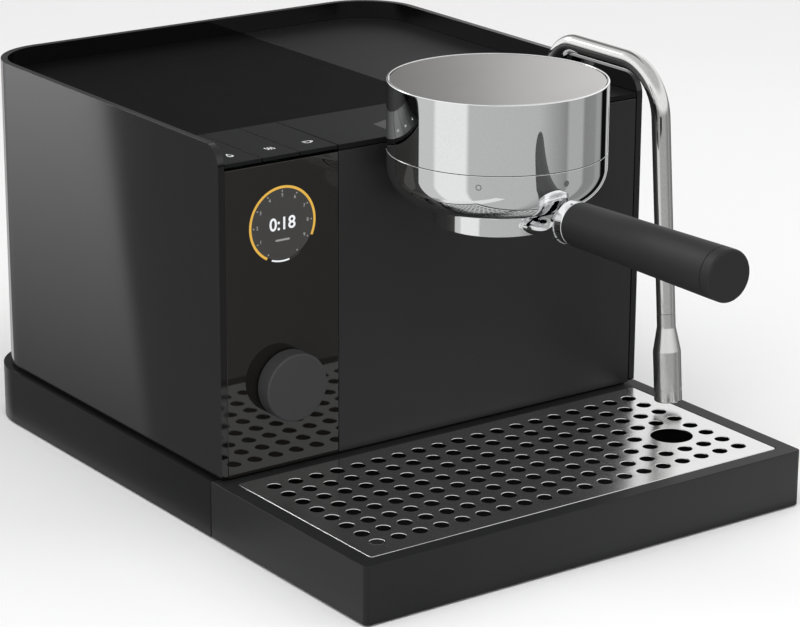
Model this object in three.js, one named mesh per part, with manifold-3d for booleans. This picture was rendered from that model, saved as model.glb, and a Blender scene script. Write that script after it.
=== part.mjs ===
// Espresso machine with a round chrome brew group, a bottomless portafilter, a steam wand and a
// slide-out drip tray. Millimetres, +Z up, the front faces -Y. The origin lies on the table, at the
// middle of the overall width and of the overall length from the handle's end to the base's back.
import * as THREE from 'three';
import { mergeVertices } from 'three/addons/utils/BufferGeometryUtils.js';
import Module from 'manifold-3d';

const wasm = await Module();
wasm.setup();

// ---------------------------------------------------------------- driving dimensions
// Depths (y) are counted from the drip tray's front face, heights (z) from the table.
const width = 300;
const depth = 414;
const handleReach = 100; // how far the handle's end stands in front of the tray
const gap = 0.3; // space left between touching pieces

const feetHeight = 1;
const baseTop = 33.8;
const stepTop = 35.9; // the raised step that the casing stands on, inside a shadow gap
const stepInset = 6.5;
const trayDepth = 148.4;
const plinthRadius = 40;

const wall = 4; // casing wall
const bodyHalf = 146;
const bodyFront = 143;
const bodyBack = 410;
const bodyRadius = 38;
const bodyBottom = stepTop + gap;
const rimTop = 223.5;
const rimCorner = 12;
const innerHalf = bodyHalf - wall;
const innerBack = bodyBack - wall;
const innerRadius = bodyRadius - wall;

const panelFront = 143.3;
const panelThick = 3;
const panelBottom = 35;
const panelTop = 209.7;
const glassRight = -68.5; // the display glass fills the front from the left wall to here
const glassTop = 209.3;

const stripTop = 213.2;
const stripBottom = 210.2;
const stripBack = 204.4;
const lidLeft = 37.9;
const lidFront = 226.3;
const deckBottom = 206.5;
const deckTop = 209.5;
const matTop = 212.8;

const grateHalf = 140;
const grateFront = 10;
const grateBack = 137;
const grateThick = 0.8;
const holePitch = 13.9;
const holeRadius = 4.2;
const holeColumns = 19;
const holeRows = 8;
const firstHole = { x: -125.1, y: 25.5 };
const purgeHole = { x: 105, y: 60, radius: 12 };

const groupSides = 40;
const groupY = 91; // the brew group's axis, at x = 0
const groupRadius = 60.3;
const groupTop = 251.4;
const groupSeam = 212.8;
const groupBottom = 184.5;
const groupRound = 20; // radius of the collar's rounded lower edge
const throatRadius = 36.3;
const grooveRadius = 40;

const filterRadius = 34.5; // the portafilter's ring below the group
const filterBottom = 172;
const handleZ = 184.8; // height of the handle's axis where it meets the group's axis
const handleTilt = THREE.MathUtils.degToRad(0.85); // the handle rises a little outwards
const ferruleRadius = 12;
const handleRadius = 13.9; // at the handle's end
const gripStart = 71.8; // distances along the handle are counted from the group's axis
const gripEnd = 183.8;
const handleEnd = groupY + handleReach;

const wandX = 132.5;
const wandY = 209;
const wandRadius = 5.5;
const wandHeight = 234.5; // height of the level run
const wandRearBend = 21;
const wandFrontBend = 31;
const wandFrontBendY = -68;
const wandLean = THREE.MathUtils.degToRad(5);
const wandEndZ = 92; // where the tube enters the tip
const wandTipLength = 53;

const knobX = -103.5;
const knobZ = 83.7;
const knobRadius = 19.4;
const knobDepth = 11.8;
const displayZ = 174.5;
const displayRadius = 24;

const keyEdges = [-141.6, -117.3, -93.1, glassRight];
const keyGap = 0.6;
const keyTop = stripTop;
const keyBottom = 210.9;
const keyRod = { y: 201.4, z: 208.9, radius: 1 };

const tank = { x: [45, 138], y: [233, 402], z: [60, 206], radius: 31, wall: 3 };

// ---------------------------------------------------------------- solids
function signedVolume(geometry) {
  const corner = geometry.attributes.position;
  const order = geometry.index.array;
  const [a, b, c] = [new THREE.Vector3(), new THREE.Vector3(), new THREE.Vector3()];
  let volume = 0;
  for (let i = 0; i < order.length; i += 3) {
    a.fromBufferAttribute(corner, order[i]);
    b.fromBufferAttribute(corner, order[i + 1]);
    c.fromBufferAttribute(corner, order[i + 2]);
    volume += a.dot(b.cross(c)) / 6;
  }
  return volume;
}

// Merges the corners, drops collapsed triangles and turns the faces outwards.
function weld(geometry) {
  const bare = geometry.clone();
  bare.deleteAttribute('normal');
  bare.deleteAttribute('uv');
  const merged = mergeVertices(bare, 1e-4);
  const order = merged.index.array;
  const kept = [];
  for (let i = 0; i < order.length; i += 3) {
    const [a, b, c] = [order[i], order[i + 1], order[i + 2]];
    if (a !== b && b !== c && c !== a) {
      kept.push(a, b, c);
    }
  }
  merged.setIndex(kept);
  if (signedVolume(merged) < 0) {
    merged.setIndex(kept.reverse());
  }
  return merged;
}

function toManifold(geometry) {
  const welded = weld(geometry);
  const vertProperties = new Float32Array(welded.attributes.position.array);
  const triVerts = new Uint32Array(welded.index.array);
  return new wasm.Manifold(new wasm.Mesh({ numProp: 3, vertProperties, triVerts }));
}

function toGeometry(manifold) {
  const mesh = manifold.getMesh();
  const geometry = new THREE.BufferGeometry();
  geometry.setAttribute('position', new THREE.BufferAttribute(mesh.vertProperties, 3));
  geometry.setIndex(new THREE.BufferAttribute(mesh.triVerts, 1));
  return geometry;
}

function join(first, ...others) {
  return toGeometry(others.reduce((sum, piece) => sum.add(toManifold(piece)), toManifold(first)));
}

function cut(first, ...others) {
  return toGeometry(others.reduce((rest, piece) => rest.subtract(toManifold(piece)), toManifold(first)));
}

// ---------------------------------------------------------------- shapes
function box(x, y, z) {
  const geometry = new THREE.BoxGeometry(x[1] - x[0], y[1] - y[0], z[1] - z[0]);
  return geometry.translate((x[0] + x[1]) / 2, (y[0] + y[1]) / 2, (z[0] + z[1]) / 2);
}

// A rectangle with its own radius at each corner, in the XY plane.
function roundedRectangle(x, y, { frontLeft = 0, frontRight = 0, backRight = 0, backLeft = 0 }) {
  const shape = new THREE.Shape();
  const corner = (cx, cy, radius, from) => {
    if (radius > 0) {
      shape.absarc(cx, cy, radius, from, from + Math.PI / 2, false);
    } else {
      shape.lineTo(cx, cy);
    }
  };
  shape.moveTo(x[0] + frontLeft, y[0]);
  corner(x[1] - frontRight, y[0] + frontRight, frontRight, -Math.PI / 2);
  corner(x[1] - backRight, y[1] - backRight, backRight, 0);
  corner(x[0] + backLeft, y[1] - backLeft, backLeft, Math.PI / 2);
  corner(x[0] + frontLeft, y[0] + frontLeft, frontLeft, Math.PI);
  return shape;
}

function plate(shape, z, curveSegments = 6) {
  const options = { depth: z[1] - z[0], bevelEnabled: false, curveSegments };
  return new THREE.ExtrudeGeometry(shape, options).translate(0, 0, z[0]);
}

// An outline in the YZ plane, drawn as (y, z), pushed out along X.
function sidePlate(shape, x, curveSegments = 6) {
  const axes = new THREE.Matrix4().makeBasis(
    new THREE.Vector3(0, 1, 0),
    new THREE.Vector3(0, 0, 1),
    new THREE.Vector3(1, 0, 0),
  );
  return plate(shape, x, curveSegments).applyMatrix4(axes);
}

// Revolves [radius, height] points about Z.
function lathe(profile, sides = 28) {
  const points = profile.map(([radius, height]) => new THREE.Vector2(radius, height));
  return new THREE.LatheGeometry(points, sides).rotateX(Math.PI / 2);
}

function disc(radius, z, sides = 20) {
  return lathe([[0, z[0]], [radius, z[0]], [radius, z[1]], [0, z[1]]], sides);
}

function ring(inner, outer, z, sides = 28) {
  return lathe([[inner, z[0]], [outer, z[0]], [outer, z[1]], [inner, z[1]], [inner, z[0]]], sides);
}

function arc(centreRadius, centreHeight, radius, from, to, steps) {
  const points = [];
  for (let i = 0; i <= steps; i += 1) {
    const angle = THREE.MathUtils.degToRad(from + ((to - from) * i) / steps);
    points.push([centreRadius + radius * Math.cos(angle), centreHeight + radius * Math.sin(angle)]);
  }
  return points;
}

function tube(points, radius, sides = 6, steps = 18) {
  const circle = new THREE.Shape();
  circle.absarc(0, 0, radius, 0, Math.PI * 2, false);
  const extrudePath = new THREE.CatmullRomCurve3(points.map((point) => new THREE.Vector3(...point)));
  return new THREE.ExtrudeGeometry(circle, { steps, curveSegments: sides / 2, extrudePath });
}

// A bar along -Y through elliptical sections {along, z, halfWidth, halfHeight}.
function loft(sections, sides = 20) {
  const bands = sections.length - 1;
  const geometry = new THREE.CylinderGeometry(1, 1, bands, sides, bands);
  const corner = geometry.attributes.position;
  for (let i = 0; i < corner.count; i += 1) {
    const section = sections[Math.round(corner.getY(i) + bands / 2)];
    const x = corner.getX(i) * section.halfWidth;
    const z = section.z + corner.getZ(i) * section.halfHeight;
    corner.setXYZ(i, x, -section.along, z);
  }
  return geometry;
}

// Turns a piece that was revolved about Z so that its height runs forwards, along -Y.
function forwards(geometry) {
  return geometry.rotateX(Math.PI / 2);
}

// ---------------------------------------------------------------- materials
function finish(color, roughness, metalness = 0) {
  return new THREE.MeshStandardMaterial({ color, roughness, metalness });
}

const finishes = {
  satinBlack: finish(0x1b1c1d, 0.42),
  glossBlack: finish(0x101112, 0.15),
  glass: finish(0x060707, 0.05),
  chrome: finish(0xd8d8d8, 0.06, 1),
  satinSteel: finish(0xb9b5af, 0.3, 1),
  grip: finish(0x343536, 0.6),
  rubber: finish(0x161616, 0.85),
  mat: finish(0x1a1a1a, 0.7),
  tankPlastic: finish(0x6f7478, 0.2),
  brass: finish(0xb08d4a, 0.35, 1),
  steel: finish(0x9a9c9e, 0.35, 1),
  board: finish(0x1f5a3c, 0.5),
  whitePlastic: finish(0xdedede, 0.5),
  silicone: finish(0xd9d9d2, 0.5),
  copper: finish(0xb87350, 0.3, 1),
};

const machine = new THREE.Group();
machine.position.y = -(depth - handleReach) / 2;

function add(parent, name, geometry, material) {
  const mesh = new THREE.Mesh(weld(geometry), material);
  mesh.name = name;
  parent.add(mesh);
  return mesh;
}

function subassembly(x, y, z) {
  const group = new THREE.Group();
  group.position.set(x, y, z);
  machine.add(group);
  return group;
}

// ---------------------------------------------------------------- base and feet
function plinth() {
  const half = width / 2;
  const front = trayDepth + gap;
  const corners = { backLeft: plinthRadius, backRight: plinthRadius };
  const body = plate(roundedRectangle([-half, half], [front, depth], corners), [feetHeight, baseTop]);
  const stepRadius = plinthRadius - stepInset;
  const stepCorners = { backLeft: stepRadius, backRight: stepRadius };
  const stepOutline = roundedRectangle(
    [-half + stepInset, half - stepInset],
    [front, depth - stepInset],
    stepCorners,
  );
  const step = plate(stepOutline, [baseTop - 1, stepTop]);
  const wellOutline = roundedRectangle([-138, 138], [162, 401], { backLeft: 30, backRight: 30 });
  const well = plate(wellOutline, [feetHeight + 3, stepTop + 1]);
  const tongues = [-90, 90].map((x) => box([x - 12, x + 12], [front - 10, front + 4], [10, 22]));
  return cut(join(body, step, ...tongues), well);
}

function foot() {
  return lathe([[0, 0], [10, 0], [10, 2.7], [0, 2.7]], 12);
}

const feet = {
  foot_front_left: [-125, 170],
  foot_front_right: [125, 170],
  foot_back_left: [-115, 380],
  foot_back_right: [115, 380],
};

function footPockets(places) {
  return Object.values(places).map(([x, y]) => disc(10 + gap, [0, 3], 12).translate(x, y, 0));
}

add(machine, 'base_plinth', cut(plinth(), ...footPockets(feet)), finishes.satinBlack);
for (const [name, [x, y]] of Object.entries(feet)) {
  add(machine, name, foot(), finishes.rubber).position.set(x, y, 0);
}

// ---------------------------------------------------------------- drip tray, grate and float
const trayFeet = { tray_foot_left: [-120, 22], tray_foot_right: [120, 22] };

function dripTray() {
  const half = width / 2;
  const corners = { frontLeft: 3, frontRight: 3 };
  const outside = roundedRectangle([-half, half], [0, trayDepth - gap / 2], corners);
  const body = plate(outside, [feetHeight, baseTop], 3);
  const rest = baseTop - grateThick - gap;
  const ledge = box(
    [-grateHalf - gap, grateHalf + gap],
    [grateFront - gap, grateBack + gap],
    [rest, baseTop + 1],
  );
  const basinCorners = { frontLeft: 6, frontRight: 6, backRight: 6, backLeft: 6 };
  const basinOutline = roundedRectangle([-136.5, 136.5], [13.5, 133.5], basinCorners);
  const basin = plate(basinOutline, [feetHeight + 5, baseTop], 3);
  const pockets = [-90, 90].map((x) => {
    return box([x - 12.5, x + 12.5], [trayDepth - 11, trayDepth + 1], [9.5, 22.5]);
  });
  const floatStop = disc(4, [feetHeight + 4, 11.7], 12).translate(firstHole.x, firstHole.y, 0);
  return join(cut(body, ledge, basin, ...pockets, ...footPockets(trayFeet)), floatStop);
}

function isUnderPurge(x, y) {
  return Math.hypot(x - purgeHole.x, y - purgeHole.y) < holePitch;
}

function grate() {
  const rounding = { frontLeft: 2, frontRight: 2, backRight: 2, backLeft: 2 };
  const shape = roundedRectangle([-grateHalf, grateHalf], [grateFront, grateBack], rounding);
  const round = (x, y, radius, sides) => {
    const corners = arc(x, y, radius, 360 / sides / 2, 360 / sides / 2 - 360, sides).slice(1);
    return new THREE.Path(corners.map(([cornerX, cornerY]) => new THREE.Vector2(cornerX, cornerY)));
  };
  for (let column = 0; column < holeColumns; column += 1) {
    for (let row = 0; row < holeRows; row += 1) {
      const x = firstHole.x + column * holePitch;
      const y = firstHole.y + row * holePitch;
      if (!isUnderPurge(x, y)) {
        shape.holes.push(round(x, y, holeRadius, 8));
      }
    }
  }
  shape.holes.push(round(purgeHole.x, purgeHole.y, purgeHole.radius, 24));
  return plate(shape, [baseTop - grateThick, baseTop], 3);
}

add(machine, 'drip_tray', dripTray(), finishes.satinBlack);
add(machine, 'drip_grate', grate(), finishes.chrome);
for (const [name, [x, y]] of Object.entries(trayFeet)) {
  add(machine, name, foot(), finishes.rubber).position.set(x, y, 0);
}
const floatProfile = [[0, 12], [8, 12], [8, 18], [3.5, 18], [3.5, baseTop - 0.2], [0, baseTop - 0.2]];
add(machine, 'tray_float', lathe(floatProfile, 16), finishes.whitePlastic)
  .position.set(firstHole.x, firstHole.y, 0);

// ---------------------------------------------------------------- casing, chassis and front panels
const inlet = { x: -70, z: 62, halfWidth: 14, halfHeight: 10.2 };

function casing() {
  const shape = new THREE.Shape();
  const arcY = bodyBack - bodyRadius;
  const arcX = bodyHalf - bodyRadius;
  shape.moveTo(-bodyHalf, bodyFront);
  shape.absarc(-arcX, arcY, bodyRadius, Math.PI, Math.PI / 2, true);
  shape.absarc(arcX, arcY, bodyRadius, Math.PI / 2, 0, true);
  shape.lineTo(bodyHalf, bodyFront);
  shape.lineTo(innerHalf, bodyFront);
  shape.absarc(arcX, arcY, innerRadius, 0, Math.PI / 2, false);
  shape.absarc(-arcX, arcY, innerRadius, Math.PI / 2, Math.PI, false);
  shape.lineTo(-innerHalf, bodyFront);
  const shell = plate(shape, [bodyBottom, rimTop], 8);
  const corner = new THREE.Shape();
  corner.moveTo(bodyFront - 1, rimTop + 1);
  corner.lineTo(bodyFront - 1, rimTop - rimCorner);
  corner.lineTo(bodyFront, rimTop - rimCorner);
  corner.absarc(bodyFront + rimCorner, rimTop - rimCorner, rimCorner, Math.PI, Math.PI / 2, true);
  corner.lineTo(bodyFront + rimCorner, rimTop + 1);
  const frontCorners = sidePlate(corner, [-bodyHalf - 1, bodyHalf + 1], 5);
  const socketHole = box(
    [inlet.x - inlet.halfWidth - gap, inlet.x + inlet.halfWidth + gap],
    [innerBack - 1, bodyBack + 1],
    [inlet.z - inlet.halfHeight - gap, inlet.z + inlet.halfHeight + gap],
  );
  const slots = [];
  for (let i = 0; i < 8; i += 1) {
    const x = -56 + i * 14;
    slots.push(box([x - 2, x + 2], [innerBack - 1, bodyBack + 1], [150, 185]));
  }
  return cut(shell, frontCorners, socketHole, ...slots);
}

// The space the brew group needs in the front panel, the strip and the chassis.
function groupSpace(clearance) {
  const radius = groupRadius + clearance;
  const round = groupRound + clearance;
  const centre = groupRadius - groupRound;
  const profile = [
    [0, groupBottom - clearance],
    ...arc(centre, groupBottom + groupRound, round, -90, 0, 5),
    [radius, groupTop],
    [0, groupTop],
  ];
  return lathe(profile, groupSides).translate(0, groupY, 0);
}

function frontPanel() {
  const x = [glassRight + gap, innerHalf - gap];
  const sheet = box(x, [panelFront, panelFront + panelThick], [panelBottom, panelTop]);
  return cut(sheet, groupSpace(0.4));
}

function displayGlass() {
  const x = [-innerHalf + gap, glassRight];
  const sheet = box(x, [panelFront, panelFront + panelThick], [panelBottom, glassTop]);
  const shaftHole = forwards(disc(4.5, [-10, 10], 20)).translate(knobX, panelFront, knobZ);
  return cut(sheet, shaftHole);
}

function chassis() {
  const half = innerHalf - 1;
  const front = panelFront + panelThick + 1;
  const upright = box([-half, half], [front, front + 2], [panelBottom + 2, 205]);
  const sides = [-1, 1].map((side) => {
    const x = [side * half, side * (half - 2)].sort((a, b) => a - b);
    return box(x, [front, 240], [panelBottom + 2, 205]);
  });
  const displayHole = forwards(disc(displayRadius + 0.5, [-20, 10], 24));
  displayHole.translate(knobX, panelFront, displayZ);
  const encoderHole = forwards(disc(5, [-20, 10], 16)).translate(knobX, panelFront, knobZ);
  const groupHole = box([-62, 62], [front - 1, front + 3], [183, 206]);
  return cut(join(upright, ...sides), displayHole, encoderHole, groupHole);
}

add(machine, 'body_shell', casing(), finishes.glossBlack);
add(machine, 'chassis_frame', chassis(), finishes.steel);
add(machine, 'front_panel', frontPanel(), finishes.satinBlack);
add(machine, 'display_glass', displayGlass(), finishes.glass);

// ---------------------------------------------------------------- display, encoder and knob
const controls = subassembly(knobX, panelFront, 0);
const displayBody = forwards(disc(displayRadius, [-11, -panelThick - gap], 28));
add(controls, 'display_module', displayBody, finishes.glossBlack).position.z = displayZ;

// Heights in these profiles are counted forwards from the front panel's face.
const knobProfile = [
  [0, knobDepth],
  ...arc(knobRadius - 1.6, knobDepth - 1.6, 1.6, 90, 0, 2),
  [knobRadius, 0.8],
  [3.15, 0.8],
  [3.15, 8],
  [0, 8],
];
const encoderProfile = [
  [3.3, -6.2],
  [7, -6.2],
  [7, -18],
  [0, -18],
  [0, -16],
  [4.2, -16],
  [4.2, -13],
  [3.3, -13],
  [3.3, -6.2],
];
add(controls, 'knob', forwards(lathe(knobProfile)), finishes.grip).position.z = knobZ;
add(controls, 'encoder_shaft', forwards(disc(3, [-13, 7.6], 16)), finishes.steel).position.z = knobZ;
add(controls, 'encoder_plunger', forwards(disc(3.2, [-14.8, -13.3], 16)), finishes.whitePlastic)
  .position.z = knobZ;
add(controls, 'encoder_body', forwards(lathe(encoderProfile, 16)), finishes.steel).position.z = knobZ;

// ---------------------------------------------------------------- top: strip, keys, deck, mat
const lensCorners = [[-28, 156], [-14, 156], [-14, 174.5], [-27.5, 169.5]];

// Moves each corner of an outline towards its middle.
function shrink(points, amount) {
  const middleX = points.reduce((sum, [x]) => sum + x / points.length, 0);
  const middleY = points.reduce((sum, [, y]) => sum + y / points.length, 0);
  return points.map(([x, y]) => {
    const scale = 1 - amount / Math.hypot(x - middleX, y - middleY);
    return [middleX + (x - middleX) * scale, middleY + (y - middleY) * scale];
  });
}

function polygon(points, z) {
  return plate(new THREE.Shape(points.map(([x, y]) => new THREE.Vector2(x, y))), z);
}

function controlStrip() {
  const right = innerHalf - gap;
  const front = box([glassRight + gap, right], [panelFront, stripBack], [stripBottom, stripTop]);
  const corner = box([lidLeft, right], [stripBack - 1, lidFront - gap], [stripBottom, stripTop]);
  const lensPocket = polygon(lensCorners, [stripTop - 1.3, stripTop + 1]);
  const wandHole = disc(wandRadius + 0.6, [stripBottom - 1, stripTop + 1], 24).translate(wandX, wandY, 0);
  return cut(join(front, corner), groupSpace(0.4), lensPocket, wandHole);
}

function key(left, right) {
  const top = box([left, right - keyGap], [panelFront, stripBack], [keyBottom, keyTop]);
  const lugY = [keyRod.y - 2.4, keyRod.y + 2.4];
  const lug = box([left + 3, right - 3.6], lugY, [keyRod.z - 2.2, keyBottom + 1]);
  const post = disc(2, [207.2, keyBottom + 1], 12).translate((left + right) / 2, 160, 0);
  const rodHole = disc(keyRod.radius + 0.15, [left - 1, right + 1], 12);
  rodHole.rotateY(Math.PI / 2);
  rodHole.translate(0, keyRod.y, keyRod.z);
  return cut(join(top, lug, post), rodHole);
}

function keyBoard() {
  const board = box([-138.6, -70], [150, 196], [201, 202.6]);
  const switches = [0, 1, 2].map((i) => {
    const x = (keyEdges[i] + keyEdges[i + 1]) / 2;
    return box([x - 3, x + 3], [157, 163], [202, 205.4]);
  });
  return join(board, ...switches);
}

function deckPlate() {
  const half = innerHalf - gap;
  const corners = { backLeft: innerRadius - gap, backRight: innerRadius - gap };
  const outline = roundedRectangle([-half, half], [stripBack + gap, innerBack - gap], corners);
  const sheet = plate(outline, [deckBottom, deckTop]);
  const mouth = roundedRectangle(
    [tank.x[0] - 1, tank.x[1] + 1],
    [tank.y[0] - 1, tank.y[1] + 1],
    { backRight: tank.radius + 1 },
  );
  const wandHole = disc(wandRadius + 1, [deckBottom - 1, deckTop + 1], 24).translate(wandX, wandY, 0);
  return cut(sheet, plate(mouth, [deckBottom - 1, deckTop + 1]), wandHole);
}

const rodShape = disc(keyRod.radius, [keyEdges[0], glassRight], 12).rotateY(Math.PI / 2);
const cornerRadius = innerRadius - gap;
const matOutline = roundedRectangle(
  [-innerHalf + gap, lidLeft - gap],
  [stripBack + gap, innerBack - gap],
  { backLeft: cornerRadius },
);
add(machine, 'control_strip', controlStrip(), finishes.satinBlack);
const lensShape = polygon(shrink(lensCorners, 0.5), [stripTop - 1, stripTop]);
add(machine, 'indicator_lens', lensShape, finishes.whitePlastic);
['button_left', 'button_middle', 'button_right'].forEach((name, i) => {
  add(machine, name, key(keyEdges[i], keyEdges[i + 1]), finishes.satinBlack);
});
add(machine, 'button_hinge_rod', rodShape, finishes.steel).position.set(0, keyRod.y, keyRod.z);
add(machine, 'button_board', keyBoard(), finishes.board);
add(machine, 'deck_plate', deckPlate(), finishes.steel);
add(machine, 'cup_mat', plate(matOutline, [deckTop + gap, matTop]), finishes.mat);

// ---------------------------------------------------------------- water tank
function waterTank() {
  const outside = roundedRectangle(tank.x, tank.y, { backRight: tank.radius });
  const inside = roundedRectangle(
    [tank.x[0] + tank.wall, tank.x[1] - tank.wall],
    [tank.y[0] + tank.wall, tank.y[1] - tank.wall],
    { backRight: tank.radius - tank.wall },
  );
  const spout = disc(5, [tank.z[0] - 6, tank.z[0] + 1], 16).translate(92, 300, 0);
  const tub = cut(plate(outside, tank.z), plate(inside, [tank.z[0] + tank.wall, tank.z[1] + 1]));
  const drain = disc(3, [tank.z[0] - 7, tank.z[0] + 4], 16).translate(92, 300, 0);
  return cut(join(tub, spout), drain);
}

function tankLid() {
  const outline = roundedRectangle(
    [lidLeft, innerHalf - gap],
    [lidFront, innerBack - gap],
    { backRight: cornerRadius },
  );
  const top = plate(outline, [deckTop + gap, matTop]);
  const inset = tank.wall + 0.8;
  const plugOutline = roundedRectangle(
    [tank.x[0] + inset, tank.x[1] - inset],
    [tank.y[0] + inset, tank.y[1] - inset],
    { backRight: tank.radius - inset },
  );
  return join(top, plate(plugOutline, [203, deckTop + 1]));
}

function tankSeat() {
  const top = box([46, 137], [234, 372], [52, tank.z[0] - gap]);
  const legs = [[46, 52], [131, 137]].map((x) => box(x, [240, 366], [4.3, 53]));
  const port = disc(8, [42, 53], 16).translate(92, 300, 0);
  const socket = disc(5.4, [tank.z[0] - 7.5, tank.z[0] + 1], 16).translate(92, 300, 0);
  const duct = disc(2.5, [41, 56], 16).translate(92, 300, 0);
  return cut(join(top, ...legs, port), socket, duct);
}

add(machine, 'water_tank', waterTank(), finishes.tankPlastic);
add(machine, 'tank_lid', tankLid(), finishes.satinBlack);
add(machine, 'tank_seat', tankSeat(), finishes.whitePlastic);

// ---------------------------------------------------------------- brew group
const brew = subassembly(0, groupY, 0);

function collar() {
  const centre = groupRadius - groupRound;
  const lip = groupBottom + 2.2;
  const profile = [
    [throatRadius, groupBottom],
    ...arc(centre, groupBottom + groupRound, groupRound, -90, 0, 5),
    [groupRadius, groupSeam - gap],
    [grooveRadius, groupSeam - gap],
    [grooveRadius, lip],
    [throatRadius, lip],
    [throatRadius, groupBottom],
  ];
  const entries = [45, 225].map((angle) => {
    const slot = box([34, grooveRadius + 0.2], [-13, 13], [groupBottom - 1, lip + 1]);
    return slot.rotateZ(THREE.MathUtils.degToRad(angle - 90));
  });
  const window = box([-20.4, 20.4], [30, 70], [195.6, 208.9]);
  return cut(lathe(profile, groupSides), ...entries, window);
}

function housing() {
  const ledge = groupTop - 2.6;
  const profile = [
    [57.5, groupSeam + gap],
    [groupRadius, groupSeam + gap],
    [groupRadius, groupTop],
    [groupRadius - 1.3, groupTop],
    [groupRadius - 1.3, ledge],
    [57.5, ledge],
    [57.5, groupSeam + gap],
  ];
  return lathe(profile, groupSides);
}

const headProfile = [
  [0, 204],
  [27, 204],
  [27, 203.6],
  [39.6, 203.6],
  [39.6, 212.9],
  [57.2, 212.9],
  [57.2, 216],
  [30, 216],
  [30, 236],
  [0, 236],
];
const screenProfile = [[0, 199.5], [4.3, 199.5], [4.3, 197.5], [27.8, 197.5], [27.8, 203.2], [0, 203.2]];
const screwProfile = [[0, 195.5], [5, 195.5], [6, 197.2], [4, 197.2], [4, 199.2], [0, 199.2]];
const capHeights = [groupTop - 2.3, groupTop - 0.25];

add(brew, 'group_collar', collar(), finishes.chrome);
add(brew, 'group_housing', housing(), finishes.chrome);
add(brew, 'group_cap', disc(58.6, capHeights, groupSides), finishes.satinSteel);
add(brew, 'group_head', lathe(headProfile), finishes.brass);
add(brew, 'group_gasket', ring(28.4, 36.6, [195.3, 203.3]), finishes.rubber);
add(brew, 'shower_screen', lathe(screenProfile), finishes.steel);
add(brew, 'shower_screw', lathe(screwProfile, 16), finishes.steel);

function bracket() {
  const arm = box([-19, 19], [20, 74], [196, 208.5]);
  const web = box([-20, 20], [61.5, 74], [160, 208.5]);
  const foot = box([-45, 45], [58.8, 64.8], [150, 184]);
  return cut(join(arm, web, foot), disc(grooveRadius, [190, 215], groupSides));
}

add(brew, 'group_bracket', bracket(), finishes.steel);

// ---------------------------------------------------------------- portafilter
function portafilterBody() {
  const barrelTop = 193.5;
  const bore = 31;
  const profile = [
    [bore, filterBottom],
    [filterRadius - 1, filterBottom],
    [filterRadius, filterBottom + 1],
    [filterRadius, groupBottom - 0.7],
    [throatRadius - 0.5, groupBottom - 0.7],
    [throatRadius - 0.5, barrelTop],
    [bore, barrelTop],
    [bore, filterBottom],
  ];
  const ears = [-90, 90].map((angle) => {
    const outer = ring(bore + 1, grooveRadius - 0.5, [187.1, 190.8], 40);
    const sector = box([0, 60], [-10, 10], [186, 192]).rotateZ(THREE.MathUtils.degToRad(angle + 90));
    return toGeometry(toManifold(outer).intersect(toManifold(sector)));
  });
  const neck = loft([
    { along: 32.5, z: 178, halfWidth: 10, halfHeight: 5 },
    { along: 42, z: 178.2, halfWidth: 8.6, halfHeight: 5.2 },
    { along: 50, z: 179.2, halfWidth: 9, halfHeight: 6.2 },
    { along: 56, z: 181.5, halfWidth: 9.8, halfHeight: 7.7 },
    { along: 61, z: 184.6, halfWidth: 11, halfHeight: 10.4 },
    { along: 64, z: 185.7, halfWidth: 11.6, halfHeight: 11.6 },
  ]);
  const stud = forwards(disc(4, [60, 112], 12)).rotateX(-handleTilt).translate(0, 0, handleZ);
  const hollow = disc(bore, [filterBottom - 1, barrelTop + 1], 28);
  return cut(join(lathe(profile), ...ears, neck, stud), hollow);
}

const basketProfile = [
  [0, 173.4],
  [28.6, 173.4],
  [29.6, 174.6],
  [29.6, 193.8],
  [34.6, 193.8],
  [34.6, 194.9],
  [28.8, 194.9],
  [28.8, 174.4],
  [0, 174.4],
];
const ferruleProfile = [
  [4.3, 64.3],
  [ferruleRadius - 0.4, 64.3],
  [ferruleRadius, 65],
  [ferruleRadius, gripStart - gap],
  [4.3, gripStart - gap],
  [4.3, 64.3],
];
const gripProfile = [
  [0, gripEnd],
  [handleRadius, gripEnd],
  [ferruleRadius, gripStart],
  [4.3, gripStart],
  [4.3, 113],
  [0, 113],
];
const endCapProfile = [
  [0, handleEnd],
  ...arc(handleRadius - 1.4, handleEnd - 1.4, 1.4, 90, 0, 2),
  [handleRadius, gripEnd + gap],
  [0, gripEnd + gap],
];

add(brew, 'portafilter_body', portafilterBody(), finishes.chrome);
add(brew, 'filter_basket', lathe(basketProfile), finishes.steel);
const springRing = new THREE.TorusGeometry(30.3, 0.45, 4, 28);
add(brew, 'basket_spring', springRing, finishes.steel).position.z = 182;
const handlePieces = {
  handle_ferrule: [ferruleProfile, finishes.chrome],
  handle_grip: [gripProfile, finishes.grip],
  handle_cap: [endCapProfile, finishes.grip],
};
for (const [name, [profile, finish]] of Object.entries(handlePieces)) {
  const handlePiece = add(brew, name, forwards(lathe(profile)), finish);
  handlePiece.position.z = handleZ;
  handlePiece.rotation.x = -handleTilt;
}

// ---------------------------------------------------------------- steam wand
const wand = subassembly(wandX, wandY, 0);

function wandPath() {
  const rear = arc(-wandRearBend, wandHeight - wandRearBend, wandRearBend, 0, 90, 5);
  const frontAngle = 180 - THREE.MathUtils.radToDeg(wandLean);
  const front = arc(wandFrontBendY, wandHeight - wandFrontBend, wandFrontBend, 90, frontAngle, 6);
  const [legY, legZ] = front[front.length - 1];
  const end = [legY - Math.tan(wandLean) * (legZ - wandEndZ), wandEndZ];
  const middle = [(legY + end[0]) / 2, (legZ + end[1]) / 2];
  return [[0, 197], ...rear, ...front, middle, end];
}

const wandPoints = wandPath();
const wandEndY = wandPoints[wandPoints.length - 1][0];
const wandTube = tube(wandPoints.map(([y, z]) => [0, y, z]), wandRadius, 10, 34);
add(wand, 'wand_tube', wandTube, finishes.chrome);
add(wand, 'wand_collar', ring(wandRadius + 0.6, 9.5, [stripTop + gap, 217], 20), finishes.chrome);

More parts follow.
